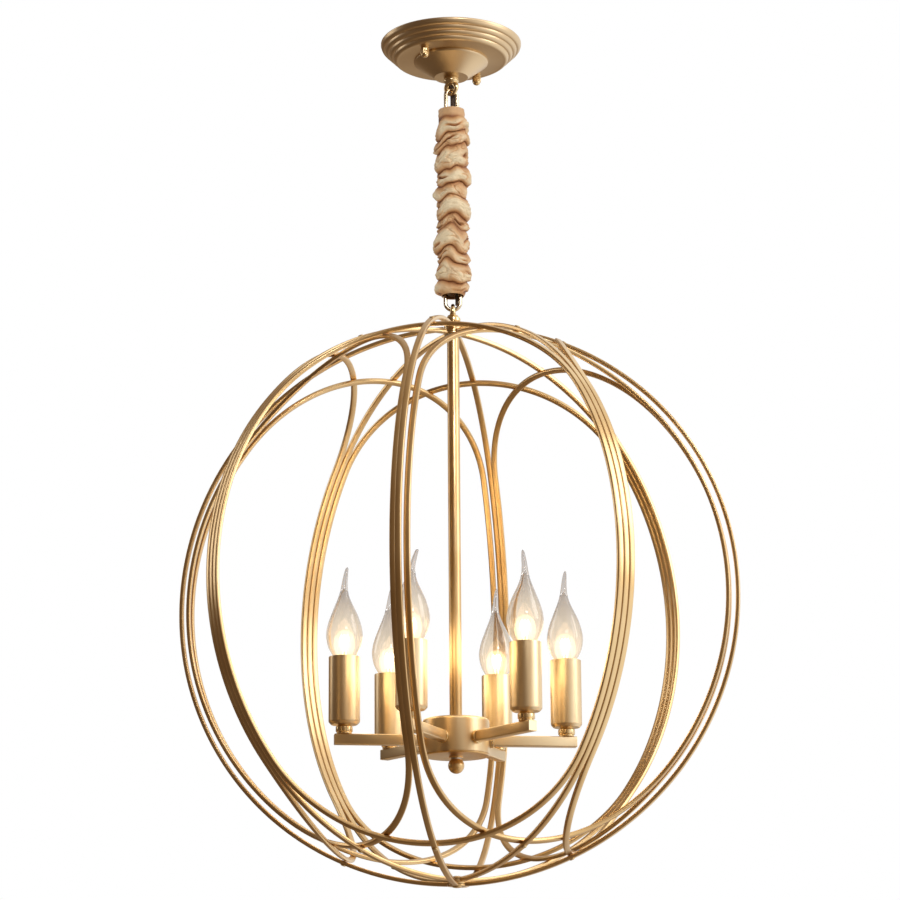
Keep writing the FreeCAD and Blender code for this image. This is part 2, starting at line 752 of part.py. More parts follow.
def make_cage_screws():
    """A screw at each crossing of a ring and a petal's end, and the rivet at the lower pole."""
    pieces = []
    depth = size("bar_depth")
    for index in range(WINDOW_COUNT):
        layer = 0 if index % 2 == 0 else 1
        outer = layer_outer(layer)
        for rise in (1, -1):
            azimuth = -90 + index * 360.0 / WINDOW_COUNT
            aim = sphere_point(azimuth, rise * petal_top(layer + 1))
            spin = Rotation(Vector(0, 0, 1), aim)
            middle = Vector(0, 0, CAGE_CENTRE.value)
            inner = outer.value - LAYER_STEP.value - depth.value
            mark = f"{index}_{rise + 1}"
            shank = cylinder(f"screw_shank_{mark}", size("screw_radius"),
                             LAYER_STEP + depth, tuple(middle + aim * inner), spin)
            head = cylinder(f"screw_head_{mark}", size("screw_head_radius"),
                            size("screw_head_height"), tuple(middle + aim * outer.value), spin)
            pieces.append(fuse(f"screw_{mark}", shank, head))
    rivet_foot = CAGE_CENTRE - size("cage_radius") - size("rivet_head_height")
    stack = POLE_STACK
    shank = cylinder("rivet_shank", size("rivet_radius"), stack + size("rivet_head_height"),
                     (0, 0, rivet_foot))
    for mark, z in (("outer", rivet_foot), ("inner", rivet_foot + stack
                                            + size("rivet_head_height"))):
        head = cylinder(f"rivet_head_{mark}", size("rivet_head_radius"),
                        size("rivet_head_height"), (0, 0, z))
        shank = fuse(f"rivet_with_{mark}", shank, head)
    screws = doc.addObject("Part::Compound", "cage_screw_set")
    screws.Links = pieces + [shank]
    return node("cage_screws", screws)


# ---- light frame ------------------------------------------------------------------------------

def make_centre_rod():
    tube = cylinder("rod_tube", size("rod_radius"), size("rod_length"), (0, 0, HUB_TOP))
    bore = cylinder("rod_bore", size("rod_bore_radius"), size("rod_length") + 2,
                    (0, 0, HUB_TOP - 1))
    return node("centre_rod", cut("rod_cut", tube, bore))


def make_hub_shell():
    """Drawn cup, open below, with a hole for the tube and six for the arms."""
    radius = size("hub_radius")
    height = size("hub_height")
    wall = size("hub_wall")
    edge = size("hub_edge_round")
    hole = size("stem_radius") + size("thread_gap")
    body = new_body("hub_turning", (0, 0, HUB_PLATE_TOP))
    revolve(body, "hub_cup",
            [(radius - wall, 0), (radius, 0), (radius, height - edge, edge),
             (radius - edge, height), (hole, height), (hole, height - wall),
             (radius - wall, height - wall)])
    tools = []
    for index in range(CANDLES):
        turn = ARM_TURN + index * 360.0 / CANDLES
        x, y = ((radius - wall * 3) * c for c in direction(turn))
        spin = Rotation(Vector(0, 0, 1), Vector(*direction(turn), 0))
        tools.append(cylinder(f"hub_arm_hole_{index + 1}",
                              size("arm_stub_radius") + size("thread_gap"), wall * 4,
                              (x, y, ARM_CENTRE), spin))
    return node("hub_shell", cut("hub_cut", body, *tools))


def make_hub_plate():
    disc = cylinder("hub_disc", size("hub_radius"), size("hub_plate"), (0, 0, HUB_FOOT))
    hole = cylinder("hub_disc_hole", size("stem_radius") + size("thread_gap"),
                    size("hub_plate") + 2, (0, 0, HUB_FOOT - 1))
    return node("hub_plate", cut("hub_plate_cut", disc, hole))


FINIAL_GRIP = size("finial_neck") * 1.6


def make_hub_nipple():
    """Threaded tube from inside the rod through the hub to the finial."""
    low = HUB_FOOT - FINIAL_GRIP
    high = HUB_TOP + size("nut_height") * 5
    tube = cylinder("nipple_tube", size("stem_radius"), high - low, (0, 0, low))
    bore = cylinder("nipple_bore", size("stem_bore_radius"), high - low + 2, (0, 0, low - 1))
    return node("hub_nipple", cut("nipple_cut", tube, bore))


def make_finial():
    """Ball with a short neck that screws onto the tube and holds the plate."""
    ball = size("finial_radius")
    neck = size("finial_neck")
    drop = size("finial_drop")
    bore = size("stem_radius") + size("thread_gap")
    sink = drop.value - neck.value
    throat = math.sqrt(ball.value ** 2 - sink ** 2)
    body = new_body("finial_turning", (0, 0, HUB_FOOT - drop - ball))
    top = ball + drop
    revolve(body, "finial_ball",
            [(0, 0, ball), (throat, top - neck), (size("finial_neck_radius"), top - neck),
             (size("finial_neck_radius"), top), (bore, top), (bore, top - FINIAL_GRIP),
             (0, top - FINIAL_GRIP)])
    return node("finial", body)


def make_arm(number, turn):
    """Square tube closed at both ends, with a round stub through its nut into the hub."""
    side = size("arm_side")
    wall = size("arm_wall")
    start = size("hub_radius") + size("arm_nut_height") + size("screw_gap")
    spin = turned(turn)
    c, s = direction(turn)

    def spot(out, left, z):
        return (out * c - left * s, out * s + left * c, z)

    reach = size("candle_reach") + size("arm_overhang")
    name = f"arm_{number}"
    tube = box(f"{name}_tube", reach - start, side, side,
               spot(start, -side * 0.5, ARM_CENTRE - side * 0.5), spin)
    hollow = box(f"{name}_hollow", reach - start - wall * 2, side - wall * 2, side - wall * 2,
                 spot(start + wall, -side * 0.5 + wall, ARM_CENTRE - side * 0.5 + wall), spin)
    along = Rotation(Vector(0, 0, 1), Vector(c, s, 0))
    stub_start = size("hub_radius") - size("hub_wall") * 3
    stub = cylinder(f"{name}_stub", size("arm_stub_radius"), start - stub_start + wall * 0.5,
                    (stub_start * c, stub_start * s, ARM_CENTRE), along)
    bore = cylinder(f"{name}_bore", size("arm_stub_radius") - wall, start - stub_start + wall * 2,
                    ((stub_start - wall) * c, (stub_start - wall) * s, ARM_CENTRE), along)
    hole = cylinder(f"{name}_candle_hole", size("candle_stem_radius") + size("thread_gap"),
                    side, (size("candle_reach") * c, size("candle_reach") * s, ARM_CENTRE))
    shell = cut(f"{name}_shell", tube, hollow)
    return node(name, cut(f"{name}_cut", fuse(f"{name}_solid", shell, stub), bore, hole))


def make_arm_nuts():
    nuts = []
    for index in range(CANDLES):
        turn = ARM_TURN + index * 360.0 / CANDLES
        c, s = direction(turn)
        along = Rotation(Vector(0, 0, 1), Vector(c, s, 0))
        start = size("hub_radius") + size("screw_gap")
        ring = cylinder(f"arm_nut_ring_{index}", size("arm_nut_radius"),
                        size("arm_nut_height") - size("screw_gap"),
                        (start * c, start * s, ARM_CENTRE), along)
        before = start - 1
        hole = cylinder(f"arm_nut_hole_{index}", size("arm_stub_radius") + size("thread_gap"),
                        size("arm_nut_height") + 2, (before * c, before * s, ARM_CENTRE), along)
        nuts.append(cut(f"arm_nut_{index}", ring, hole))
    group = doc.addObject("Part::Compound", "arm_nut_set")
    group.Links = nuts
    return node("arm_nuts", group)


def candle_spots():
    for index in range(CANDLES):
        c, s = direction(ARM_TURN + index * 360.0 / CANDLES)
        yield index + 1, size("candle_reach") * c, size("candle_reach") * s


def make_candle_collars():
    """Turned collars with a stem that goes down into the arm and up through the cup's floor."""
    collars = []
    height = size("candle_collar_height")
    neck = size("candle_collar_neck")
    bead = size("candle_collar_radius")
    stem = size("candle_stem_radius")
    below = size("arm_wall") * 2.5
    above = size("cup_wall") * 2.5
    for number, x, y in candle_spots():
        body = new_body(f"candle_collar_{number}", (x, y, ARM_TOP - below))
        low = below + height * 0.22
        high = below + height * 0.8
        revolve(body, f"candle_collar_turning_{number}",
                [(0, 0), (stem, 0), (stem, below), (neck, below), (neck, low, height * 0.4),
                 (neck, high), (bead * 0.9, high), (bead * 0.9, below + height),
                 (stem, below + height), (stem, below + height + above),
                 (0, below + height + above)])
        collars.append(body)
    group = doc.addObject("Part::Compound", "candle_collar_set")
    group.Links = collars
    return node("candle_collars", group)


def make_candle_cup(number, x, y):
    """Thin tube with a rounded foot and an open top."""
    radius = size("cup_radius")
    wall = size("cup_wall")
    height = size("cup_height")
    edge = size("cup_round")
    hole = size("candle_stem_radius") + size("thread_gap")
    body = new_body(f"candle_cup_{number}_body", (x, y, CUP_FOOT))
    revolve(body, f"candle_cup_{number}_tube",
            [(hole, 0), (radius - edge, 0, edge), (radius, edge), (radius, height),
             (radius - wall, height), (radius - wall, edge, -(edge - wall)),
             (radius - edge, wall), (hole, wall)])
    return node(f"candle_cup_{number}", body)


def make_lamp_holders():
    """Lampholders: a foot on the cup's floor and a wide socket near its rim."""
    holders = []
    foot = CUP_FOOT + size("cup_wall")
    top = HOLDER_TOP - foot
    step = size("holder_foot_height")
    wide = size("holder_radius")
    narrow = size("holder_foot_radius")
    clear = size("candle_stem_radius") + size("thread_gap")
    pocket_depth = size("cup_wall") * 3
    bore = size("lamp_cap_radius") + size("lamp_cap_gap")
    floor = top - size("lamp_cap_height") - size("lamp_contact_height") - size("lamp_cap_gap")
    for number, x, y in candle_spots():
        body = new_body(f"lamp_holder_{number}", (x, y, foot))
        revolve(body, f"lamp_holder_turning_{number}",
                [(0, pocket_depth), (clear, pocket_depth), (clear, 0), (narrow, 0),
                 (narrow, step), (wide, step + narrow * 0.3), (wide, top), (bore, top),
                 (bore, floor), (0, floor)])
        holders.append(body)
    group = doc.addObject("Part::Compound", "lamp_holder_set")
    group.Links = holders
    return node("lamp_holders", group)


def make_lamp_cap(number, x, y):
    """Screw cap of a lamp with its insulator and centre contact."""
    height = size("lamp_cap_height")
    contact = size("lamp_contact_height")
    radius = size("lamp_cap_radius")
    tip = size("lamp_contact_radius")
    body = new_body(f"lamp_cap_{number}_body", (x, y, LAMP_SEAT - height - contact))
    revolve(body, f"lamp_cap_{number}_shell",
            [(0, 0), (tip, 0), (tip, contact * 0.35), (radius * 0.85, contact),
             (radius, contact + tip * 0.4), (radius, contact + height), (0, contact + height)])
    return node(f"lamp_cap_{number}", body)


def make_lamp_glass(number, x, y, lean_turn):
    """Clear envelope: round belly, drawn waist and a bent tip."""
    wall = size("lamp_glass")
    neck = size("lamp_neck_radius")
    belly = size("lamp_radius")
    waist = size("lamp_waist_radius")
    tip = size("lamp_tip_radius")
    belly_z = size("lamp_belly_height")
    waist_z = size("lamp_waist_height")
    tip_z = size("lamp_tip_start")
    fall = belly.value - waist.value
    rise = waist_z.value - belly_z.value
    upper_value = (fall * fall + rise * rise) / (2 * fall)
    upper = as_size(upper_value)
    lower = belly_z * 1.15
    drawn = (tip_z - waist_z) * 3.0
    spin = turned(lean_turn)
    body = new_body(f"lamp_glass_{number}_body", (x, y, LAMP_SEAT), spin)
    revolve(body, f"lamp_glass_{number}_bulb",
            [(neck - wall, 0), (neck, 0, lower), (belly, belly_z, upper), (waist, waist_z, -drawn),
             (tip, tip_z), (0, tip_z), (0, tip_z - wall * 1.5),
             (tip - wall, tip_z - wall * 1.5, drawn + wall),
             (waist - wall, waist_z, -(upper - wall)), (belly - wall, belly_z, -(lower - wall))])
    rest = size("lamp_tip_height") - tip_z
    sections = []
    for share, thin, bend in ((0.0, 1.0, 0.0), (0.45, 0.66, 0.2), (1.0, 0.26, 1.0)):
        ring = sketch_on(body, f"lamp_tip_{number}_{int(share * 100)}", "XY_Plane",
                         tip_z + rest * share)
        draw_circle(ring, tip * thin, size("lamp_tip_lean") * bend, 0)
        sections.append(ring)
    loft = body.newObject("PartDesign::AdditiveLoft", f"lamp_tip_{number}")
    loft.Profile = (sections[0], [""])
    loft.Sections = [(ring, [""]) for ring in sections[1:]]
    return node(f"lamp_glass_{number}", body)


# ---- assembly ---------------------------------------------------------------------------------

make_ceiling_bracket()
make_bracket_studs()
make_canopy()
make_canopy_nuts()
LOOP_STEM = size("canopy_wall") + size("nut_height") + 2
make_loop("canopy_loop", LOOP_CENTRE, size("collar_height"), LOOP_STEM, LOOP_TURN, 1)
make_hex_nut("canopy_locknut", CONE_FOOT + size("canopy_wall"))

node("top_link", chain_link("top_link", TOP_LINK_CENTRE, TOP_LINK_TURN))
make_chain_links()
make_chain_sleeve()
node("bottom_link", chain_link("bottom_link", BOTTOM_LINK_CENTRE, BOTTOM_LINK_TURN))

# The lead lies against one side of each end link, and in the corner between the hidden ones.
LEAD_REACH = size("link_wire") * 0.5 + size("lead_radius") + size("lead_gap")


def lead_spot(slant):
    """Along and beside a link's plane, for a lead a given angle round the side wire."""
    angle = math.radians(slant)
    return LINK_BEND - LEAD_REACH * math.sin(angle), LEAD_REACH * math.cos(angle)


make_lead("lead_upper", TOP_LINK_CENTRE - LINK_SPAN * 0.5 + LINK_BEND, TOP_LINK_BAR,
          *lead_spot(UPPER_LEAD_SLANT), TOP_LINK_TURN)
make_lead("lead_lower", BOTTOM_LINK_BAR + HANG + size("loop_wire_radius"),
          BOTTOM_LINK_CENTRE + LINK_SPAN * 0.5 - LINK_BEND,
          *lead_spot(LOWER_LEAD_SLANT), BOTTOM_LINK_TURN)
LINK_HALF = size("link_length") * 0.5
make_lead("lead_middle", BOTTOM_LINK_CENTRE + LINK_HALF + size("lead_radius"),
          TOP_LINK_CENTRE - LINK_HALF - size("lead_radius"), LEAD_REACH, LEAD_REACH, CHAIN_TURN)

EYE_STEM = POLE_STACK + size("layer_gap") + size("nut_height") * 5
make_loop("cage_eye", EYE_CENTRE, size("eye_collar_height"), EYE_STEM, BOTTOM_LINK_TURN, -1)
make_hex_nut("crown_locknut", ROD_TOP)
make_ring(1, -90.0, 0, True)
make_ring(2, -45.0, 1, True)
make_ring(3, 0.0, 0, False)
make_ring(4, 45.0, 1, False)
make_petals()
make_cage_screws()

make_centre_rod()
make_hub_shell()
make_hub_plate()
make_hub_nipple()
make_finial()
for arm_index in range(CANDLES):
    make_arm(arm_index + 1, ARM_TURN + arm_index * 360.0 / CANDLES)
make_arm_nuts()
make_candle_collars()
make_lamp_holders()
for candle, cup_x, cup_y in candle_spots():
    make_candle_cup(candle, cup_x, cup_y)
    make_lamp_cap(candle, cup_x, cup_y)
    make_lamp_glass(candle, cup_x, cup_y, 20.0 * math.sin(2.1 * candle))

doc.recompute()
for item in doc.Objects:
    if "Invalid" in item.State or "Error" in item.State:
        raise RuntimeError(f"{item.Label} did not build: {item.State}")
for label, item in nodes.items():
    shape = item.Shape
    if shape.isNull() or not shape.isValid() or not shape.Solids:
        raise RuntimeError(f"{label} has no sound solid")

os.makedirs("parts", exist_ok=True)
for label, item in nodes.items():
    item.Shape.exportStep(f"parts/{label}.step")
print(len(nodes), "nodes written")
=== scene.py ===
# %% [markdown]
# # An orb chandelier
# A ball of flat gold bars hangs from a ceiling canopy on a short chain that wears a gathered
# cloth sleeve. Inside the ball six candle lamps stand on arms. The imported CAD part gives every
# place and size, and this lesson dresses it piece by piece. Each piece is built where the CAD
# solid is, rides on the same body and stands for that solid.

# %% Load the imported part
import json
import math

import bmesh
import bpy
import numpy as np
from mathutils import Matrix, Vector, noise

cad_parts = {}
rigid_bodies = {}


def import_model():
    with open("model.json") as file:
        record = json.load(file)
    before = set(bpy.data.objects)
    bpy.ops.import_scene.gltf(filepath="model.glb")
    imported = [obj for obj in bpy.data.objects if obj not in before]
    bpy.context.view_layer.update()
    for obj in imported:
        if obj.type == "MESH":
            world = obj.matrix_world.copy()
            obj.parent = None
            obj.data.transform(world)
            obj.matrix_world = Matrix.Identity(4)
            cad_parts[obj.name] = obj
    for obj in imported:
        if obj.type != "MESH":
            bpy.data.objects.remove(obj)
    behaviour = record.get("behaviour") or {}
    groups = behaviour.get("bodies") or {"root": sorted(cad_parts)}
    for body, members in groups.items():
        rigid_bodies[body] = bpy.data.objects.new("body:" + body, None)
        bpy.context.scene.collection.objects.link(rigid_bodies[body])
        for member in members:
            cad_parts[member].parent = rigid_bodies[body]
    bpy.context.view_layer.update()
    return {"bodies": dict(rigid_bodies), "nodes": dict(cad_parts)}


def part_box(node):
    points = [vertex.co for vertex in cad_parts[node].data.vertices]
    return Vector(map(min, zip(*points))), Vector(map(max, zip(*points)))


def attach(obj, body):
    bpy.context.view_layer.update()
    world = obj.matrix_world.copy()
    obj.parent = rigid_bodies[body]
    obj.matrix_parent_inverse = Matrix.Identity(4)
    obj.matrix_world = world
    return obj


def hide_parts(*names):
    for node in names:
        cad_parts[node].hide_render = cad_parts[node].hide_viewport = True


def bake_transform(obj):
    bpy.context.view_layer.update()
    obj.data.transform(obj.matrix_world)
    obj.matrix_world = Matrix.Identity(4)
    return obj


for leftover in list(bpy.data.objects):
    bpy.data.objects.remove(leftover)
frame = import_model()
MM = 0.001
UP = Vector((0, 0, 1))

# %% [markdown]
# ## Where things are
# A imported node's own box is the safest ruler: if the CAD part changes, the dressed pieces follow.
# The first meridian of the cage lies in the plane of Y and Z, so its box gives the ball's middle
# and radius, and each lamp's cap gives the axis of its candle.

# %% Measure the frame
def middle_of(node):
    low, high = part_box(node)
    return (low + high) / 2


def upright_span(node):
    low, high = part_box(node)
    return low.z, high.z


def span_mm(node):
    return [z / MM for z in upright_span(node)]


BALL_CENTRE = Vector((0, 0, middle_of("cage_ring_1").z))
BALL_RADIUS = (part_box("cage_ring_1")[1].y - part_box("cage_ring_1")[0].y) / 2
CANDLES = range(1, 7)
candle_axis = {k: middle_of(f"lamp_cap_{k}").xy.to_3d() for k in CANDLES}
print("ball radius", round(BALL_RADIUS, 4), "centre height", round(BALL_CENTRE.z, 4))

# %% [markdown]
# ## The camera first
# The photograph was taken from below the ball with a long lens, a little to one side of the front
# meridian. A fit of the ball's bars to their places in the picture gave the distance, height and
# tilt. The lens and the tilt decide how the far bars cross the near ones, so they come first.

# %% Camera
TURN = math.radians(10.55)        # round the object from the front meridian
TILT = math.radians(14.30)        # upwards
ROLL = math.radians(0.40)
LENS = 114.996                    # millimetres, on a sensor 36 mm wide
SIDE_STEP = -0.00383
DISTANCE = 2.7243
BELOW_CENTRE = 0.5452


def into_scene(name, data):
    thing = bpy.data.objects.new(name, data)
    bpy.context.scene.collection.objects.link(thing)
    return thing


camera_data = bpy.data.cameras.new("studio_camera")
camera_data.lens = LENS
camera_data.sensor_width = 36.0
camera_data.clip_end = 50.0
camera = into_scene("studio_camera", camera_data)
spot = Matrix.Rotation(TURN, 4, "Z") @ Vector((SIDE_STEP, -DISTANCE, 0))
spot.z = BALL_CENTRE.z - BELOW_CENTRE
aim = (Matrix.Rotation(TURN, 4, "Z") @ Matrix.Rotation(math.pi / 2 + TILT, 4, "X")
       @ Matrix.Rotation(-ROLL, 4, "Z"))
camera.matrix_world = Matrix.Translation(spot) @ aim
bpy.context.scene.camera = camera
print("camera at", [round(c, 3) for c in spot])

# %% [markdown]
# ## Finishes from nodes
# Every finish is a small node tree on a Principled shader, whose constant values are set on the
# shader itself. A helper returns a function that adds nodes by name, so a finish reads like a
# recipe: a colour that drifts a little, a roughness that drifts with it, and a bump at the scale
# of the real surface.

# %% Nodes by name
def node_adder(tree):
    """A function that adds a node, its settings by name and its inputs linked or set."""
    def add(kind, link=None, **settings):
        node = tree.nodes.new(kind)
        for key, value in settings.items():
            socket = key.replace("_", " ")
            if socket in node.inputs:
                node.inputs[socket].default_value = value
            else:
                setattr(node, key, value)
        for target, source in (link or {}).items():
            tree.links.new(source, node.inputs[target])
        return node

    return add


def new_finish(name, **constants):
    """A material, its Principled shader with the constants set, and its node adder."""
    finish = bpy.data.materials.new(name)
    finish.use_nodes = True
    shader = finish.node_tree.nodes["Principled BSDF"]
    for socket, value in constants.items():
        shader.inputs[socket.replace("_", " ")].default_value = value
    return finish, shader, node_adder(finish.node_tree)


def feed(shader, **sources):
    """Links node outputs to the shader's sockets by name."""
    for socket, source in sources.items():
        shader.id_data.links.new(source, shader.inputs[socket.replace("_", " ")])


print("node adder ready")


# %% Drifts, ramps and bumps
def place_of(add):
    return add("ShaderNodeTexCoord").outputs["Object"]


def drift(add, place, scale, detail=2.0, stretch=None):
    """Soft noise in the object's own metres, stretched along an axis if asked."""
    if stretch:
        place = add("ShaderNodeMapping", {"Vector": place}, Scale=stretch).outputs["Vector"]
    return add("ShaderNodeTexNoise", {"Vector": place}, Scale=scale, Detail=detail).outputs["Fac"]


def ramp(add, fac, stops):
    """Colour ramp through (position, colour) stops."""
    node = add("ShaderNodeValToRGB", {"Fac": fac})
    elements = node.color_ramp.elements
    while len(elements) < len(stops):
        elements.new(0.5)
    for element, (position, colour) in zip(elements, stops):
        element.position = position
        element.color = (*colour, 1.0)
    return node.outputs["Color"]


def spread(add, fac, low, high):
    """Takes a 0 to 1 value to the range low to high."""
    return add("ShaderNodeMapRange", {"Value": fac}, To_Min=low, To_Max=high).outputs["Result"]


def share_up(add, place, low, high):
    """How far up a point lies between two heights, from 0 to 1."""
    height = add("ShaderNodeSeparateXYZ", {"Vector": place}).outputs["Z"]
    return add("ShaderNodeMapRange", {"Value": height}, From_Min=low,
               From_Max=high).outputs["Result"]


def scaled(add, colour, factor):
    return add("ShaderNodeVectorMath", {0: colour, "Scale": factor},
               operation="SCALE").outputs["Vector"]


def bumped(add, height, strength, distance):
    """Normal of a surface that a 0 to 1 height raises by up to a distance in metres."""
    return add("ShaderNodeBump", {"Height": height}, Strength=strength,
               Distance=distance).outputs["Normal"]


print("drift, ramp and bump helpers ready")


# %% [markdown]
# ## Satin gold
# The frame is steel with a sprayed gold lacquer: metallic, but satin. The colour drifts by a few
# percent over centimetres, because flake settles unevenly, and handling makes small smoother
# patches. The canopy and the candles show a fine orange peel. On the narrow bars it would only
# break up the line of light along each edge, so they go without.

# %% Satin gold lacquer
def satin_gold(name, light, dark, roughness, peel_depth=0.04):
    finish, shader, add = new_finish(name, Metallic=1.0)
    place = place_of(add)
    patches = drift(add, place, 34.0)
    feed(shader,
         Base_Color=ramp(add, drift(add, place, 14.0), [(0.35, dark), (0.65, light)]),
         Roughness=spread(add, patches, roughness - 0.03, roughness + 0.03),
         Normal=bumped(add, drift(add, place, 320.0, 1.0), peel_depth, 0.0002))
    return finish


frame_gold = satin_gold("satin_gold_bars", (0.86, 0.62, 0.33), (0.70, 0.46, 0.21), 0.29, 0.0)
pan_gold = satin_gold("satin_gold_canopy", (0.79, 0.60, 0.37), (0.67, 0.49, 0.29), 0.36)
candle_gold = satin_gold("satin_gold_candles", (0.90, 0.70, 0.43), (0.80, 0.60, 0.35), 0.34)
print("gold finishes made")

# %% [markdown]
# ## Bright brass, zinc and the rest
# Links, loops and the small turned pieces are brighter than the frame: plated and polished, with
# faint turning marks. What hides in the canopy and in the hub is zinc-plated steel.

# %% Plated metals
def plated(name, light, dark, roughness, marks):
    """Polished plating; marks is how many times closer the turning marks lie along the axis."""
    finish, shader, add = new_finish(name, Metallic=1.0)
    place = place_of(add)
    rings = drift(add, place, 300.0, 2.0, stretch=(1, 1, marks))
    feed(shader,
         Base_Color=ramp(add, drift(add, place, 40.0), [(0.3, dark), (0.7, light)]),
         Roughness=spread(add, rings, roughness - 0.04, roughness + 0.07),
         Normal=bumped(add, rings, 0.05, 0.0001))
    return finish


bright_brass = plated("polished_brass", (0.86, 0.66, 0.38), (0.78, 0.57, 0.30), 0.16, 8.0)
link_brass = plated("plated_links", (0.80, 0.70, 0.54), (0.62, 0.50, 0.34), 0.15, 3.0)
zinc = plated("zinc_plate", (0.66, 0.67, 0.68), (0.56, 0.57, 0.58), 0.28, 4.0)
nickel = plated("nickel_cap", (0.78, 0.77, 0.74), (0.70, 0.69, 0.66), 0.2, 6.0)
print("plated finishes made")


# %% [markdown]
# ## Gathered satin
# The sleeve is a peach satin. Its colour holds painted light and shade, set by how deep a point
# lies in the
# folds: a painted highlight on the crowns and painted shade, warm brown, in the creases, where
# cloth in a crease is lit by cloth. The mesh carries that depth as an attribute, which the colour
# reads. A wave along the sleeve and a fine noise drawn out with it give the weave, and a little
# sheen lifts the crowns.

# %% Cloth finish
def satin_cloth():
    finish, shader, add = new_finish("peach_satin", Roughness=0.55, Sheen_Weight=0.15,
                                     Sheen_Roughness=0.4, Sheen_Tint=(1.0, 0.86, 0.72, 1.0))
    place = place_of(add)
    depth = add("ShaderNodeAttribute", attribute_name="fold_depth").outputs["Fac"]
    # painted shade in the creases and painted highlight on the crowns, read from the fold depth
    painted_fold_shading = ramp(add, depth, [(0.0, (0.15, 0.045, 0.012)), (0.3, (0.46, 0.19, 0.065)),
                             (0.6, (0.78, 0.45, 0.21)), (0.95, (0.98, 0.78, 0.50))])
    blotch = spread(add, drift(add, place, 70.0, 3.0), 0.86, 1.12)
    warp = add("ShaderNodeTexWave", {"Vector": place}, bands_direction="Z", Scale=260.0,
               Distortion=1.5).outputs["Fac"]
    weft = drift(add, place, 900.0, 1.0, stretch=(1, 1, 0))
    weave = add("ShaderNodeMath", {0: warp, 1: weft}, operation="MULTIPLY").outputs[0]
    feed(shader, Base_Color=scaled(add, painted_fold_shading, blotch), Normal=bumped(add, weave, 0.25, 0.0003))
    return finish


sleeve_satin = satin_cloth()
print("cloth finish made")


# %% [markdown]
# ## Flex, holder and glass
# The supply flex has a dark brown braid. The lampholder is cream plastic. The envelopes are clear
# blown glass with tiny seeds, and the light of the lit filament in the lower half of the glass is a
# painted glow that fades with height. Light from so many small faces would be slow to
# gather, so the glowing finishes are only seen and a point light in each lamp lights the metal.

# %% Flex and plastic
def braided_flex():
    finish, shader, add = new_finish("brown_braid", Roughness=0.5)
    lay = add("ShaderNodeTexWave", {"Vector": place_of(add)}, bands_direction="DIAGONAL",
              Scale=330.0, Distortion=0.6).outputs["Fac"]
    feed(shader,
         Base_Color=ramp(add, lay, [(0.2, (0.035, 0.018, 0.008)), (0.8, (0.12, 0.07, 0.035))]),
         Normal=bumped(add, lay, 0.5, 0.0003))
    return finish


def cream_plastic():
    finish, shader, add = new_finish("cream_holder")
    cloud = drift(add, place_of(add), 120.0)
    feed(shader,
         Base_Color=ramp(add, cloud, [(0.3, (0.74, 0.69, 0.58)), (0.7, (0.82, 0.78, 0.68))]),
         Roughness=spread(add, cloud, 0.38, 0.5))
    return finish


flex_braid = braided_flex()
holder_cream = cream_plastic()
print("flex and holder finishes made")

# %% Lamp glass
CUP_RIM = upright_span("candle_cup_1")[1]
FLAME_TALL = 0.095
FILAMENT_TALL = 0.030
HALO_TALL = 0.036


def lamp_glass():
    """Clear glass, warm low down and greyer up to the drawn tip, with painted shade where it is
    seen on edge.
    """
    finish, shader, add = new_finish("clear_envelope", IOR=1.45, Roughness=0.03,
                                     Transmission_Weight=1.0,
                                     Emission_Color=(1.0, 0.80, 0.55, 1.0))
    place = place_of(add)
    share = share_up(add, place, CUP_RIM, CUP_RIM + FLAME_TALL)
    along = ramp(add, share, [(0.0, (0.92, 0.83, 0.72)), (0.35, (0.85, 0.79, 0.71)),
                              (0.62, (0.73, 0.68, 0.63)), (1.0, (0.50, 0.47, 0.46))])
    # painted shade: the glass is darker where it is seen on edge
    edge = ramp(add, add("ShaderNodeLayerWeight", Blend=0.35).outputs["Facing"],
                [(0.25, (1.0, 1.0, 1.0)), (0.9, (0.62, 0.60, 0.60))])
    tint = add("ShaderNodeVectorMath", {0: along, 1: edge}, operation="MULTIPLY")
    streak = spread(add, drift(add, place, 130.0, 3.0, stretch=(1, 1, 0.18)), 0.82, 1.1)
    # painted glow: the filament's light painted into the lower glass, fading with height
    glow = ramp(add, share, [(0.0, (0.09, 0.09, 0.09)), (0.3, (0.04, 0.04, 0.04)),
                             (0.6, (0.0, 0.0, 0.0))])
    cells = add("ShaderNodeTexVoronoi", {"Vector": place}, Scale=260.0).outputs["Distance"]
    seeds = add("ShaderNodeMapRange", {"Value": cells}, From_Max=0.16).outputs["Result"]
    feed(shader, Base_Color=scaled(add, tint.outputs["Vector"], streak), Emission_Strength=glow,
         Normal=bumped(add, seeds, 0.3, 0.0004))
    return finish


clear_glass = lamp_glass()
print("lamp glass made, cup rim at", round(CUP_RIM, 4))


# %% Filament and glow
def glowing(name, strength):
    """White-hot core: brightest in the middle of its height, amber towards the ends."""
    finish, shader, add = new_finish(name, Roughness=0.4, Base_Color=(1.0, 0.9, 0.75, 1.0),
                                     Emission_Strength=strength)
    share = share_up(add, place_of(add), CUP_RIM, CUP_RIM + FILAMENT_TALL)
    feed(shader, Emission_Color=ramp(add, share, [
        (0.0, (1.0, 0.72, 0.40)), (0.35, (1.0, 0.88, 0.66)), (0.6, (1.0, 0.86, 0.62)),
        (1.0, (1.0, 0.66, 0.34))]))
    return finish


def light_halo(name, alpha, strength):
    """One thin shell of the ball of light that a lit filament makes."""
    finish, shader, add = new_finish(name, Alpha=alpha, Roughness=1.0, Specular_IOR_Level=0.0,
                                     Base_Color=(1.0, 0.9, 0.7, 1.0), Emission_Strength=strength)
    share = share_up(add, place_of(add), CUP_RIM, CUP_RIM + HALO_TALL)
    feed(shader, Emission_Color=ramp(add, share, [
        (0.0, (1.0, 0.86, 0.62)), (0.5, (1.0, 0.93, 0.78)), (1.0, (1.0, 0.88, 0.68))]))
    return finish


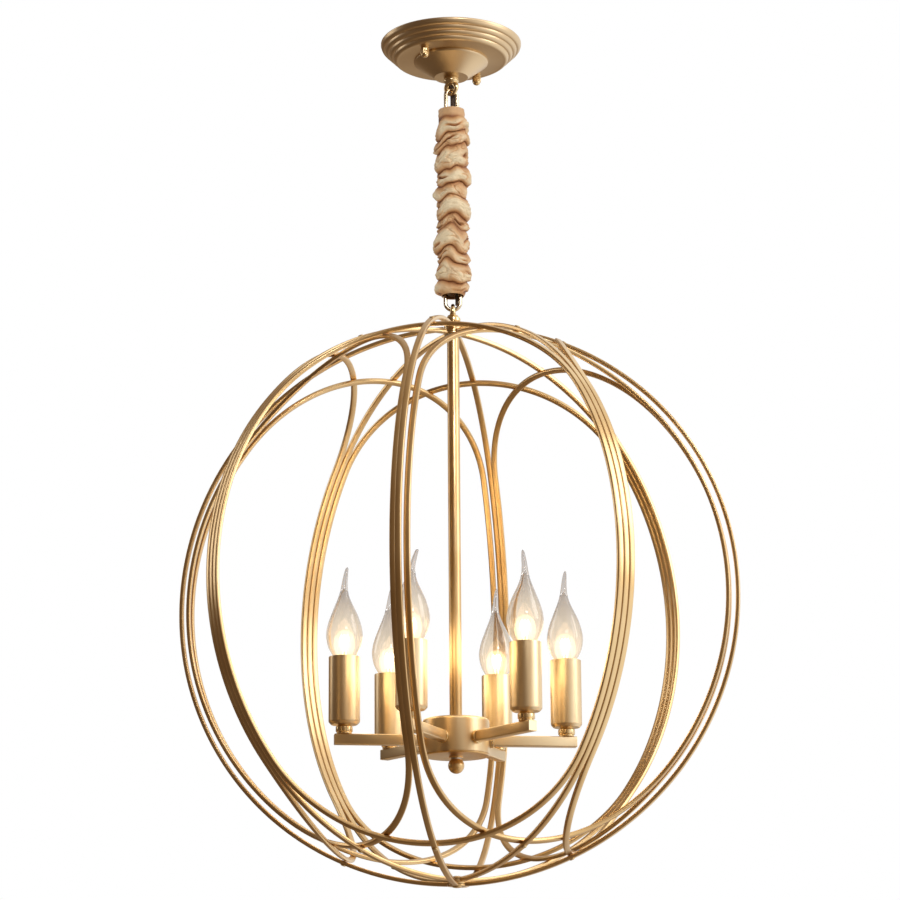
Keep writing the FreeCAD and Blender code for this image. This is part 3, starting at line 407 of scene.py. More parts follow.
hot_filament = glowing("hot_filament", 9.0)
halo = light_halo("warm_halo", 0.10, 1.05)
halo_core = light_halo("white_core", 0.30, 1.7)
for lit in (clear_glass, hot_filament, halo, halo_core):
    lit.cycles.emission_sampling = "NONE"      # the small point lights light the metal instead
print("filament and glow finishes made")

# %% [markdown]
# ## Two ways to make metal pieces
# Most pieces here were turned on a lathe or bent from a bar, and the mesh code does the same. The
# lathe takes an outline of radius and height, eases its corners as real edges are eased, and
# turns it. Easing matters more than any texture: a tiny round along an edge catches a line of
# light.

# %% Mesh piece
TINY = 1e-6
NEARLY_STRAIGHT = math.radians(172)


def mesh_piece(name, corners, faces, finish, sharp=38.0):
    mesh = bpy.data.meshes.new(name)
    mesh.from_pydata([tuple(c) for c in corners], [], faces)
    work = bmesh.new()
    work.from_mesh(mesh)
    bmesh.ops.recalc_face_normals(work, faces=work.faces)
    work.to_mesh(mesh)
    work.free()
    mesh.materials.append(finish)
    mesh.shade_smooth()
    mesh.set_sharp_from_angle(angle=math.radians(sharp))
    return into_scene(name, mesh)


print("mesh piece helper ready")


# %% Eased outlines and the lathe
def eased(outline, ease=0.4, steps=3, lathe=True):
    """Rounds the corners of a closed outline, for the lathe all but those on its axis; a corner's
    third number is its own round."""
    points = [Vector(p[:2]) for p in outline]
    soft = []
    for i, corner in enumerate(points):
        into = points[i - 1] - corner
        out = points[(i + 1) % len(points)] - corner
        own = outline[i][2] if len(outline[i]) > 2 else ease
        plain = (lathe and corner.x < TINY) or own <= 0 or min(into.length, out.length) < TINY
        if plain or into.angle(out) > NEARLY_STRAIGHT:
            soft.append(corner)
            continue
        reach = own / math.tan(into.angle(out) / 2)
        start = corner + into.normalized() * min(reach, into.length * 0.45)
        end = corner + out.normalized() * min(reach, out.length * 0.45)
        for k in range(steps + 1):
            t = k / steps
            soft.append(start * (1 - t) ** 2 + corner * 2 * t * (1 - t) + end * t ** 2)
    return soft


def turned(outline, sides=72, centre=Vector((0, 0, 0)), radius_at=None):
    """Corners and faces of a closed outline in millimetres turned about the upright axis."""
    corners = []
    rows = []
    for radius, height in outline:
        if radius < TINY:
            rows.append([len(corners)] * sides)
            corners.append(centre + Vector((0, 0, height)) * MM)
            continue
        rows.append(list(range(len(corners), len(corners) + sides)))
        for k in range(sides):
            angle = 2 * math.pi * k / sides
            reach = radius_at(radius, height, angle) if radius_at else radius
            corners.append(centre + Vector((reach * math.cos(angle), reach * math.sin(angle),
                                            height)) * MM)
    faces = []
    for low, high in zip(rows, rows[1:] + rows[:1]):
        for k in range(sides):
            after = (k + 1) % sides
            ring = [low[k], low[after], high[after], high[k]]
            face = [c for i, c in enumerate(ring) if c not in ring[:i]]
            if len(face) > 2:
                faces.append(face)
    return corners, faces


print("lathe ready")


# %% Skins, sets and bodies
def skin(along, around, closed=True):
    """Faces between neighbouring rows of corners, each row running round its section."""
    faces = []
    for i in range(along if closed else along - 1):
        j = (i + 1) % along
        for k in range(around):
            n = (k + 1) % around
            faces.append([i * around + k, i * around + n, j * around + n, j * around + k])
    return faces


def gathered_up(parts):
    """Several (corners, faces) as one."""
    corners, faces = [], []
    for some, these in parts:
        shift = len(corners)
        corners.extend(some)
        faces.extend([[c + shift for c in face] for face in these])
    return corners, faces


def hang(piece, body, nodes):
    """The piece rides on its body and stands for its nodes, which it hides."""
    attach(piece, body)
    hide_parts(*nodes)
    return piece


print("skin, set and body helpers ready")


# %% [markdown]
# ## Flat bar swept round a ball
# Each bar keeps its broad face square to the ball's radius, so its section never twists in the
# eye of someone at the middle. The sweep walks along a list of directions from the ball's middle
# and sets the same section across each, with the four edges eased.

# %% Bar sweep
BAR_WIDTH = 6.0
BAR_EASE = 1.05


def bar_section(inner, outer, width=BAR_WIDTH, ease=BAR_EASE):
    """(across, out) corners of the flat bar with eased edges."""
    half = width / 2
    ease = min(ease, (outer - inner) * 0.45)
    section = []
    for side, level, start in ((1, inner + ease, -90), (1, outer - ease, 0),
                               (-1, outer - ease, 90), (-1, inner + ease, 180)):
        for angle in (start, start + 30, start + 60, start + 90):
            a = math.radians(angle)
            section.append((side * (half - ease) + ease * math.cos(a), level + ease * math.sin(a)))
    return section


def swept_bar(directions, radii):
    """Closed bar through unit directions, with (inner, outer) radii in millimetres at each."""
    corners = []
    count = len(directions)
    for i, out in enumerate(directions):
        ahead = directions[(i + 1) % count] - directions[i - 1]
        ahead = (ahead - out * ahead.dot(out)).normalized()
        across = ahead.cross(out)
        for side, reach in bar_section(*radii[i]):
            corners.append(BALL_CENTRE + (across * side + out * reach) * MM)
    return corners, skin(count, len(bar_section(*radii[0])))


def direction(azimuth, latitude):
    """Unit direction at angles in degrees round from +X and up from level."""
    flat = math.cos(math.radians(latitude))
    return Vector((flat * math.cos(math.radians(azimuth)), flat * math.sin(math.radians(azimuth)),
                   math.sin(math.radians(latitude))))


print("flat bar", BAR_WIDTH, "mm wide")


# %% [markdown]
# ## Four meridian rings
# The rings cross at the two poles. There each is thinned to half and carries a small disc, so
# that two rings of one layer lie flush, one disc on the other: a half-lap joint in flat bar. The
# loop's hollow stem goes through all four at the top, and a rivet holds them at the bottom.

# %% Rings with half-lapped crowns
LAYER_GAP = 0.3
BAR_DEPTH = 4.0
SKIN = (BAR_DEPTH - LAYER_GAP) / 2
PAD_RADIUS = 9.0
PAD_STEP = 0.2            # how far an inner pad reaches in past its bar
STEM_HOLE = 5.1
RIVET_HOLE = 2.5
RING_STEPS = 288
outer_of = [BALL_RADIUS / MM - (BAR_DEPTH + LAYER_GAP) * layer for layer in range(3)]


def pole_pad(low, high, hole, pole):
    """Disc at a pole between two distances from the ball's middle."""
    outline = eased([(hole, low), (PAD_RADIUS, low), (PAD_RADIUS, high), (hole, high)], 0.25, 2)
    corners, faces = turned(outline, 48)
    return [BALL_CENTRE + Vector((c.x, c.y, c.z * pole)) for c in corners], faces


def ring_directions(azimuth, lap):
    """Angles round the ring and their directions, with a close pair at each edge of its laps."""
    angles = set(np.linspace(0, 360, RING_STEPS, endpoint=False).round(4))
    for pole in (90, 270):
        for edge in (-lap, lap):
            angles -= {a for a in angles if abs(a - pole - edge) < 0.3}
            angles |= {round(pole + edge - 0.01, 4), round(pole + edge + 0.01, 4)}
    for a in sorted(angles):
        yield a, direction(azimuth, a)


def meridian_ring(number, azimuth, layer, lap_outside):
    outer = outer_of[layer]
    inner = outer - BAR_DEPTH
    lap = math.degrees((PAD_RADIUS + LAYER_GAP) / outer)
    lapped = (outer - SKIN, outer) if lap_outside else (inner, inner + SKIN)
    aims, radii = [], []
    for angle, aim in ring_directions(azimuth, lap):
        aims.append(aim)
        off_pole = min(abs(angle - 90), abs(angle - 270))
        radii.append(lapped if off_pole < lap else (inner, outer))
    low, high = lapped
    low -= 0 if lap_outside else PAD_STEP
    parts = [swept_bar(aims, radii), pole_pad(low, high, STEM_HOLE, 1),
             pole_pad(low, high, RIVET_HOLE, -1)]
    ring = mesh_piece(f"ring_bar_{number}", *gathered_up(parts), frame_gold)
    return hang(ring, "cage", [f"cage_ring_{number}"])


for number, azimuth, layer, outside in ((1, -90, 0, True), (2, -45, 1, True), (3, 0, 0, False),
                                        (4, 45, 1, False)):
    meridian_ring(number, azimuth, layer, outside)
print("four rings, outermost radius", round(outer_of[0], 1), "mm")


# %% [markdown]
# ## Eight petals
# Between the rings lie eight petals. A petal's sides run beside two meridians, one window further
# out on each hand, and its ends are arcs of smaller circles that cross its own meridian. Each of
# the four arcs is a circle cut from the ball by a plane, so rotating a direction about one axis
# draws it.

# %% Petals
WINDOW = 45.0
PETAL_RISE = 30.0
SIDE_STEPS = 48
END_STEPS = 72


def side_offset(layer):
    """Degrees from a meridian to the middle of the petal's bar that runs beside its ring."""
    reach = outer_of[layer] - BAR_DEPTH / 2
    return math.degrees(math.asin((BAR_WIDTH + LAYER_GAP) / reach))


def petal_directions(layer, azimuth):
    """Unit directions round a petal, starting at the foot of its right side."""
    rise = math.radians(PETAL_RISE)
    sweep = math.atan2(math.sin(rise), math.cos(rise) * math.cos(math.radians(WINDOW)))
    side_axis = direction(WINDOW + 90, 0)
    end_axis = direction(0, PETAL_RISE)
    foot = direction(WINDOW - side_offset(layer), 0)
    right = [Matrix.Rotation(-a, 3, side_axis) @ foot
             for a in np.linspace(-sweep, sweep, SIDE_STEPS)]
    if right[-1].z < 0:
        right.reverse()
    tangent = right[-1]
    flat = (tangent - end_axis * tangent.dot(end_axis)).normalized()
    crown = direction(0, PETAL_RISE + 90)
    turns = np.linspace(0, 2 * flat.angle(crown), END_STEPS)[1:-1]
    top = [Matrix.Rotation(a, 3, end_axis) @ tangent for a in turns]
    left = [Vector((v.x, -v.y, v.z)) for v in reversed(right)]
    bottom = [Vector((v.x, v.y, -v.z)) for v in reversed(top)]
    spin = Matrix.Rotation(math.radians(azimuth), 3, "Z")
    return [spin @ v for v in right + top + left + bottom]


def petal_top(layer):
    """Latitude where a petal crosses its own meridian."""
    size = math.cos(math.radians(PETAL_RISE)) * math.sin(math.radians(WINDOW))
    return PETAL_RISE + math.degrees(math.asin(size)) - side_offset(layer)


for index in range(8):
    layer = 1 if index % 2 == 0 else 2
    aims = petal_directions(layer, -90 + index * WINDOW)
    span = (outer_of[layer] - BAR_DEPTH, outer_of[layer])
    petal = mesh_piece(f"petal_bar_{index + 1}", *swept_bar(aims, [span] * len(aims)), frame_gold)
    hang(petal, "cage", [f"cage_petal_{index + 1}"])
print("eight petals, tops at", round(petal_top(1), 2), "and", round(petal_top(2), 2), "degrees")


# %% [markdown]
# ## Screws in the crossings
# A low domed screw sits wherever a ring crosses a petal's end. The rivet at the lower pole has a
# head outside and one inside.

# %% Screws and rivet
def turned_towards(outline, aim, start, sides=28):
    """Lathe outline set along a direction, with its foot at start, all in the row frame."""
    corners, faces = turned(outline, sides)
    spin = UP.rotation_difference(aim).to_matrix()
    return [start + spin @ c for c in corners], faces


def domed_head(radius, height, depth):
    """Low dome with its shank below, as an outline from the shank's foot."""
    return [(0, -depth), (1.4, -depth), (1.4, 0), (radius, 0), (radius, height * 0.35),
            (radius * 0.86, height * 0.72), (radius * 0.55, height * 0.94), (0, height)]


SCREW_HEAD = (2.6, 1.0)       # radius and height
RIVET_HEAD = (4.6, 1.4)
SHANK = 8.0
parts = []
for index in range(8):
    layer = index % 2
    for rise in (1, -1):
        aim = direction(-90 + index * WINDOW, rise * petal_top(layer + 1))
        start = BALL_CENTRE + aim * outer_of[layer] * MM
        parts.append(turned_towards(domed_head(*SCREW_HEAD, SHANK), aim, start))
foot = BALL_CENTRE - UP * outer_of[0] * MM
parts.append(turned_towards(domed_head(*RIVET_HEAD, SHANK), -UP, foot, 40))
inner_face = BALL_CENTRE - UP * (outer_of[1] - BAR_DEPTH - PAD_STEP) * MM
parts.append(turned_towards(domed_head(*RIVET_HEAD, 0.5), UP, inner_face, 40))
screws = mesh_piece("crossing_screws", *gathered_up(parts), bright_brass)
hang(screws, "cage", ["cage_screws"])
print("screws", len(parts) - 2)

# %% [markdown]
# ## Canopy
# The canopy is spun from sheet over a form: a lip, four rounded steps, a flat band and a cone.
# One outline, turned, makes it. Each step is a shallow round that bulges down and out, which
# gives it its bright line and its dark groove.

# %% Canopy pan
PAN_FOOT = span_mm("canopy")[0]
STEM_RADIUS = 5.0
BAND_Z = -18.5                            # face of the flat band round the cone
STEPS_FROM = Vector((54.3, BAND_Z))
STEPS_TO = Vector((70.8, -2.2))
STEP_COUNT = 4
BULGE = Vector((0.62, -0.78)) * 1.15


def stepped_pan():
    """Outline in millimetres from the foot of the cone up to the lip and back inside."""
    foot = PAN_FOOT
    outline = [(STEM_RADIUS, foot), (15.6, foot), (17.0, foot), (17.5, foot + 0.6),
               (36.2, -21.6), (37.4, -20.6), (37.6, -19.6), (37.1, -18.8), (38.2, BAND_Z),
               (52.6, BAND_Z), (53.6, BAND_Z + 0.1)]
    for k in range(STEP_COUNT):
        start = STEPS_FROM.lerp(STEPS_TO, k / STEP_COUNT)
        end = STEPS_FROM.lerp(STEPS_TO, (k + 1) / STEP_COUNT)
        for t in np.linspace(0.0, 1.0, 9):
            outline.append(start.lerp(end, t) + BULGE * math.sin(math.pi * t) ** 0.8)
    outline += [(71.0, -1.9), (71.0, -0.3), (70.7, 0), (69.9, 0), (69.6, -0.3), (69.4, -2.4),
                (53.2, -17.5), (38.4, -17.5), (36.4, -19.6), (16.6, foot + 1.0),
                (STEM_RADIUS, foot + 1.0)]
    return outline


canopy = mesh_piece("canopy_pan", *turned(stepped_pan(), 160), pan_gold, 50.0)
hang(canopy, "canopy", ["canopy"])
print("canopy depth", round(-PAN_FOOT, 1), "mm")


# %% [markdown]
# ## Cap nuts
# Two knurled cap nuts hold the canopy against its bracket. Knurling is a fine toothed ring, so
# the lathe varies its radius with the angle.

# %% Cap nuts
NUT_LOW, NUT_HIGH = span_mm("canopy_nuts")
TEETH = 22
STUD_TURN = 66.0
STUD_REACH = 46.0


def knurl(radius, height, angle):
    """Teeth on the barrel only."""
    on_barrel = radius > 4.0 and NUT_LOW + 3.6 < height < NUT_HIGH - 2.2
    return radius * (1.0 + 0.03 * math.cos(TEETH * angle)) if on_barrel else radius


def cap_nut(centre):
    low, high = NUT_LOW, NUT_HIGH
    outline = [(0, low), (1.6, low + 0.1), (3.0, low + 0.9), (3.7, low + 2.2), (3.75, low + 2.9),
               (4.25, low + 3.1), (4.25, low + 3.7), (4.25, low + 5.4), (4.25, high - 2.4),
               (4.25, high - 1.9), (3.7, high - 1.6), (3.7, high - 1.0), (4.1, high - 0.8),
               (4.1, high), (2.1, high), (2.1, low + 4.0), (0, low + 3.9)]
    return turned(outline, TEETH * 8, centre, knurl)


stud = direction(STUD_TURN, 0) * STUD_REACH * MM
nuts = mesh_piece("canopy_cap_nuts", *gathered_up([cap_nut(stud), cap_nut(-stud)]), bright_brass)
hang(nuts, "canopy", ["canopy_nuts"])
print("cap nuts at", [round(c, 4) for c in stud])

# %% [markdown]
# ## Loop and eye
# A ring of round wire sits in a turned collar, once under the canopy and once, upside down, on
# top of the ball. The ring is a wire swept round a circle. The collar has a groove and a bell
# that closes on the ring.

# %% Round wire and cast ring
def swept_wire(path, radius, sides=20, closed=True, normal=None):
    """Tube of round wire through points in metres, with a steady normal if one is given."""
    corners = []
    count = len(path)
    for i, point in enumerate(path):
        before = path[i - 1] if closed or i else path[i]
        after = path[(i + 1) % count] if closed or i + 1 < count else path[i]
        ahead = (after - before).normalized()
        side = normal if normal is not None else ahead.orthogonal()
        side = (side - ahead * side.dot(ahead)).normalized()
        other = ahead.cross(side)
        for k in range(sides):
            angle = 2 * math.pi * k / sides
            corners.append(point + (side * math.cos(angle) + other * math.sin(angle)) * radius)
    faces = skin(count, sides, closed)
    if not closed:
        faces.append(list(range(sides)))
        faces.append([(count - 1) * sides + k for k in range(sides)])
    return corners, faces


def cast_ring(centre, radius, wire, turn, up=1):
    """Cast ring standing upright, its hole along a turn in degrees: round where the link bears,
    broad beside it and towards its collar."""
    hole = direction(turn, 0)
    flat = UP.cross(hole)
    corners = []
    steps, sides = 72, 24
    for i in range(steps):
        a = 2 * math.pi * i / steps
        out = flat * math.cos(a) + UP * math.sin(a) * up
        broad = min(1.0, max(0.0, 0.55 + 0.9 * math.sin(a)))
        for k in range(sides):
            b = 2 * math.pi * k / sides
            reach = math.cos(b) * wire * (1 + (0.3 if math.cos(b) > 0 else 0.7) * broad)
            corners.append(centre + out * (radius + reach)
                           + hole * math.sin(b) * wire * (1 + 0.55 * broad))
    return corners, skin(steps, sides)


print("wire and ring helpers ready")

# %% Loop and eye
LOOP_TURN = 67.0
EYE_TURN = 10.0
LOOP_RING = 6.1 * MM
LOOP_WIRE = 1.9 * MM
collar_low = upright_span("canopy_loop")[0] + LOOP_RING + LOOP_WIRE
loop_centre = Vector((0, 0, collar_low))
collar = eased([(3.2, -41.9), (4.4, -44.4, 0.3), (5.6, -43.2, 0.6), (6.9, -41.8, 0.8),
                (7.5, -40.4, 0.8), (7.5, -39.4, 0.3), (6.9, -39.0, 0.2), (7.2, -38.6, 0.3),
                (7.2, -36.4, 0.3), (4.9, -36.4), (4.9, -30.4), (3.2, -30.4)], 0.3)
loop = mesh_piece("canopy_loop_ring", *gathered_up([
    cast_ring(loop_centre, LOOP_RING, LOOP_WIRE, LOOP_TURN), turned(collar, 64)]), bright_brass)
hang(loop, "canopy", ["canopy_loop"])

eye_top = upright_span("cage_eye")[1]
eye_centre = Vector((0, 0, eye_top - LOOP_RING - LOOP_WIRE))
face = eye_centre.z / MM - 7.0
eye_foot = span_mm("cage_eye")[0]
eye_collar = eased([(3.2, face), (5.2, face + 3.0, 0.2), (5.8, face + 1.4), (7.1, face + 0.2),
                    (7.5, face - 0.6, 0.4), (7.5, face - 3.4, 0.6), (6.7, face - 4.0, 0.2),
                    (7.5, face - 4.6, 0.6), (7.5, face - 8.0, 0.4), (4.9, face - 8.0),
                    (4.9, eye_foot), (3.2, eye_foot)], 0.3)
eye = mesh_piece("cage_eye_ring", *gathered_up([
    cast_ring(eye_centre, LOOP_RING, LOOP_WIRE, EYE_TURN, -1), turned(eye_collar, 64)]),
                 bright_brass)
hang(eye, "cage", ["cage_eye"])
print("loop centre", round(loop_centre.z, 4), "eye centre", round(eye_centre.z, 4))


# %% [markdown]
# ## Links
# A link is wire bent to a stadium. On the real one the wire's ends meet in a thin weld on one
# side, which shows as a small ridge. The two end links show; the seven between them are hidden
# and keep their CAD shape with a brass finish.

# %% End links
def link_path(centre, turn, bend, straight, steps=28):
    along = direction(turn, 0)
    path = []
    for side in (1, -1):
        middle = centre + UP * straight * 0.5 * side
        for a in np.linspace(0, math.pi, steps):
            path.append(middle + (along * math.cos(a) + UP * math.sin(a)) * bend * side)
    return path


LINK_WIRE = 2.0 * MM
LINK_WIDTH = 18.5 * MM


def end_link(name, node, turn, body):
    low, high = upright_span(node)
    wire, width = LINK_WIRE, LINK_WIDTH
    centre = Vector((0, 0, (low + high) / 2))
    path = link_path(centre, turn, width / 2 - wire, high - low - width)
    normal = UP.cross(direction(turn, 0))
    weld_at = centre + direction(turn, 0) * (width / 2 - wire)
    weld = [weld_at + UP * s * MM for s in (-0.5, -0.25, 0, 0.25, 0.5)]
    ridge = swept_wire(weld, wire * 1.08, 20, False, normal)
    link = mesh_piece(name, *gathered_up([swept_wire(path, wire, 24, True, normal), ridge]),
                      link_brass)
    return hang(link, body, [node])


end_link("top_link_wire", "top_link", 50.0, "top_link")
end_link("bottom_link_wire", "bottom_link", 10.0, "bottom_link")
print("end links made")


# %% [markdown]
# ## Gathered sleeve
# A tube of satin, longer than the chain, is pushed up on it until it stands in folds. Gathered
# cloth makes round puffs with narrow grooves between them, slanting and running into each other.
# So the tube's length is cut into puffs of uneven height, and each stands out more on one side.
# Soft noise bends the grooves, opens a tuck in some puffs and draws fine creases across them. The
# tube's points move out along its radius, and the crowns sag a little over the groove below.

# %% Sleeve sizes
SLEEVE_LOW, SLEEVE_HIGH = upright_span("chain_sleeve")
SLEEVE_LOW += 1.5 * MM
SLEEVE_HIGH -= 4.5 * MM
SLEEVE_LONG = (SLEEVE_HIGH - SLEEVE_LOW) / MM
NECK = 9.0                                # height of the plain neck above the folds
NECK_RADIUS, GROOVE_RADIUS, FOOT_RADIUS, WIDEST = 13.2, 13.0, 10.6, 19.6
FOLD_HEIGHTS = [13.0, 19.0, 11.0, 21.0, 12.0, 20.0, 14.0, 16.0, 22.0, 12.0, 18.0]
FOLD_REACH = [0.8, 1.0, 0.75, 1.0, 0.6, 0.95, 0.85, 1.0, 0.8, 1.0, 0.75]
FOLD_SIDE = [2.6, 5.4, 0.6, 3.5, 1.4, 6.0, 3.0, 0.2, 4.4, 2.0, 5.0]
FOLD_EDGES = np.concatenate([[0.0], np.cumsum(FOLD_HEIGHTS)])
FOLD_EDGES *= (SLEEVE_LONG - NECK) / FOLD_EDGES[-1]
ROUND_STEPS = 176
LONG_STEPS = 470
print("sleeve", round(SLEEVE_LONG, 1), "mm long with", len(FOLD_HEIGHTS), "puffs")


# %% Shape of the folds
def within(value, low=0.0, high=1.0):
    return max(low, min(high, value))


def soft(x, y, z, seed):
    """Noise from -1 to 1 in its own field."""
    return within(1.6 * noise.noise(Vector((x + seed, y - seed * 1.3, z + seed * 0.7))), -1.0)


def fold_point(angle, height):
    """Radius and height in millimetres and fold depth of a point of the sleeve."""
    c, s = math.cos(angle), math.sin(angle)

    def around(scale, up, seed):
        return soft(c * scale, s * scale, up, seed)

    # which puff the point belongs to, and how far up it lies in it
    at = height + 6.5 * around(0.7, height * 0.012, 1.0) + 2.2 * around(1.3, height * 0.05, 9.0)
    row = float(np.interp(at, FOLD_EDGES, np.arange(len(FOLD_EDGES))))
    index, part = min(int(row), len(FOLD_HEIGHTS) - 1), row - int(row)
    lean = math.cos(angle - FOLD_SIDE[index])
    strength = FOLD_REACH[index] * (0.80 + 0.32 * lean) + 0.18 * around(1.2, index * 3.7, 20.0)
    strength = within(strength, 0.15, 1.12)
    crown = math.sin(math.pi * part ** 0.85) ** 0.55 if 0 < part < 1 else 0.0

    # tucks and creases in the crown
    tuck_at = 0.52 + 0.24 * around(1.0, index * 5.1, 90.0)
    open_tuck = within(1.6 * around(0.9, index * 2.3, 101.0))
    tuck = math.exp(-((part - tuck_at) / 0.075) ** 2) * open_tuck
    crease = 1.0 - abs(soft(c * 1.6 + height * 0.03, s * 1.6, at * 0.17, 31.0))
    crease = max(0.0, crease - 0.74) / 0.26 * within(0.6 + around(1.0, height * 0.06, 3.0))
    swell = (GROOVE_RADIUS + 6.4 * strength * crown - 3.4 * tuck * crown
             + (0.8 * around(1.9, at * 0.11, 60.0) + 0.3 * around(7.0, at * 0.7, 66.0)
                - 1.5 * crease + 0.5 * around(3.0, at * 0.36, 44.0)) * crown)
    sag = 3.8 * strength * crown * (0.6 + 0.4 * around(1.0, index * 1.9, 70.0))

    # the plain neck at the top and the drawn-in foot
    hold = 1.0 / (1.0 + math.exp(-(SLEEVE_LONG - height - NECK) / 0.9))
    neck = NECK_RADIUS + 0.35 * around(3.0, height * 0.3, 80.0)
    radius = neck + (swell - neck) * hold
    foot = math.sin(min(1.0, (height + 0.4) / 6.0) * math.pi / 2) ** 0.8
    radius = FOOT_RADIUS + (radius - FOOT_RADIUS) * foot

    # how deep in the folds the point lies, which the colour turns into painted shade in the creases
    # and a painted highlight on the crowns
    depth = 0.04 + 0.96 * crown * (0.55 + 0.45 * min(1.0, strength)) - 0.75 * tuck
    depth += 0.22 * around(1.4, at * 0.09, 55.0) * crown - 0.22 * crease * crown
    depth = depth * hold + 0.62 * (1 - hold)
    depth = depth * foot + 0.7 * (1 - foot)
    return min(radius, WIDEST), height - sag * hold * min(1.0, height / 8.0), within(depth)


print("fold shape ready")

# %% Sleeve cloth
corners, depths = [], []
for j in range(LONG_STEPS + 1):
    for i in range(ROUND_STEPS):
        angle = 2 * math.pi * i / ROUND_STEPS
        radius, height, depth = fold_point(angle, SLEEVE_LONG * j / LONG_STEPS)
        corners.append(Vector((radius * math.cos(angle) * MM, radius * math.sin(angle) * MM,
                               SLEEVE_LOW + max(0.0, height) * MM)))
        depths.append(depth)
faces = skin(LONG_STEPS + 1, ROUND_STEPS, False)
sleeve = mesh_piece("gathered_sleeve", corners, faces, sleeve_satin, 80.0)
attribute = sleeve.data.attributes.new("fold_depth", "FLOAT", "POINT")
attribute.data.foreach_set("value", depths)
thickness = sleeve.modifiers.new("cloth", "SOLIDIFY")
thickness.thickness = 0.5 * MM
thickness.offset = -1.0
hang(sleeve, "chain", ["chain_sleeve"])


# %% [markdown]
# ## Supply lead
# The flex leaves the loop's hollow stem, passes beside the top link and dives into the sleeve.
# This stretch crosses the pivot between loop and link, and it rides on neither of those two bodies.
# Below the sleeve it shows once more beside the bottom link.

# %% Supply lead
LEAD_RADIUS = 2.5 * MM


def lead_stretch(name, points):
    curve = bpy.data.curves.new(name, "CURVE")
    curve.dimensions = "3D"
    spline = curve.splines.new("NURBS")
    spline.points.add(len(points) - 1)
    for point, place in zip(spline.points, points):
        point.co = (*place, 1.0)
    spline.order_u = 3
    spline.use_endpoint_u = True
    curve.resolution_u = 12
    holder = into_scene(f"{name}_route", curve)
    bpy.context.view_layer.update()
    line = bpy.data.meshes.new_from_object(holder.evaluated_get(
        bpy.context.evaluated_depsgraph_get()))
    path = [v.co.copy() for v in line.vertices]
    bpy.data.objects.remove(holder)
    tube = swept_wire(path, LEAD_RADIUS, 20, False, Vector((0.3, 1, 0)))
    return mesh_piece(name, *tube, flex_braid)


def lead_axis(node):
    return middle_of(node).xy.to_3d()


upper = lead_axis("lead_upper")
top_z = upright_span("lead_upper")[1]
dive = lead_axis("lead_middle")
upper_lead = lead_stretch("lead_out_of_loop", [
    Vector((0.0, 0.0005, collar_low + 0.006)), Vector((0.0, 0.001, collar_low + 0.0035)),
    upper * 0.75 + UP * (collar_low - 0.001), upper + UP * (top_z - 0.006),
    upper + UP * (top_z - 0.014), upper + UP * upright_span("lead_upper")[0]])
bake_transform(upper_lead)
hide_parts("lead_upper")

hidden_lead = lead_stretch("lead_in_sleeve", [
    dive + UP * z for z in np.linspace(*reversed(upright_span("lead_middle")), 6)])
hang(hidden_lead, "chain", ["lead_middle"])
lower = lead_axis("lead_lower")
lower_lead = lead_stretch("lead_into_eye", [
    lower + UP * z for z in np.linspace(*reversed(upright_span("lead_lower")), 5)])
hang(lower_lead, "bottom_link", ["lead_lower"])
print("lead pieces made")

# %% [markdown]
# ## Rod, hub and finial
# The rod is drawn tube. The hub is a can with rounded shoulders and a plate under it, and a ball
# finial on a short neck closes the stack. All of them are turned pieces on the fitting's axis.

# %% Centre stack
rod_low, rod_high = span_mm("centre_rod")
rod = mesh_piece("centre_tube", *turned(eased([(5.0, rod_low), (6.0, rod_low), (6.0, rod_high),
                                               (5.0, rod_high)], 0.3), 48), frame_gold)
hang(rod, "cage", ["centre_rod"])

hub_low, hub_high = span_mm("hub_shell")
hub = mesh_piece("hub_can", *turned(eased([
    (30.8, hub_low, 0.2), (32.0, hub_low, 0.3), (32.0, hub_high, 3.2), (9.0, hub_high, 0.6),
    (8.4, hub_high - 0.5, 0.3), (5.0, hub_high - 0.5), (5.0, hub_high - 1.6),
    (30.8, hub_high - 1.6, 2.0)], 0.3, 6), 112), candle_gold)
hang(hub, "cage", ["hub_shell"])

plate_low, plate_high = span_mm("hub_plate")
plate = mesh_piece("hub_plate_disc", *turned(eased([
    (5.0, plate_low), (31.2, plate_low, 0.8), (32.0, plate_high - 0.4, 0.3), (31.4, plate_high),
    (5.0, plate_high)], 0.3), 112), frame_gold)
hang(plate, "cage", ["hub_plate"])

finial_low, finial_high = span_mm("finial")
ball = [(7.75 * math.sin(a), finial_low + 7.75 - 7.75 * math.cos(a))
        for a in np.linspace(0, math.radians(152), 26)]
finial_outline = ball + [
    (3.9, finial_high - 2.2), (4.2, finial_high - 1.6), (6.4, finial_high - 1.4),
    (6.8, finial_high - 0.9), (6.8, finial_high), (0, finial_high)]
finial = mesh_piece("ball_finial", *turned(finial_outline, 64), frame_gold)
hang(finial, "cage", ["finial"])
print("hub height", round(hub_high - hub_low, 1), "mm")


# %% [markdown]
# ## Arms
# Six square tubes leave the hub. Square tube has rounded corners and, at its outer end, a welded
# cap ground flush. The section is drawn once and carried along the arm.

# %% Arms and their nuts
def square_tube(turn, start, end, side, ease=0.9):
    """Square tube along a turn in degrees, its ends drawn in a little as a ground weld is."""
    out = direction(turn, 0)
    left = UP.cross(out)
    half = side / 2
    section = eased([(half, half), (-half, half), (-half, -half), (half, -half)], ease, 3, False)
    ends = ((start, 0.92), (start + 0.4, 1.0), (end - 0.5, 1.0), (end, 0.93))
    corners = [(out * reach + left * p.x * shrink + UP * p.y * shrink) * MM
               for reach, shrink in ends for p in section]
    count = len(section)
    faces = [list(range(count)), list(range(len(corners) - count, len(corners)))]
    return corners, faces + skin(len(ends), count, False)


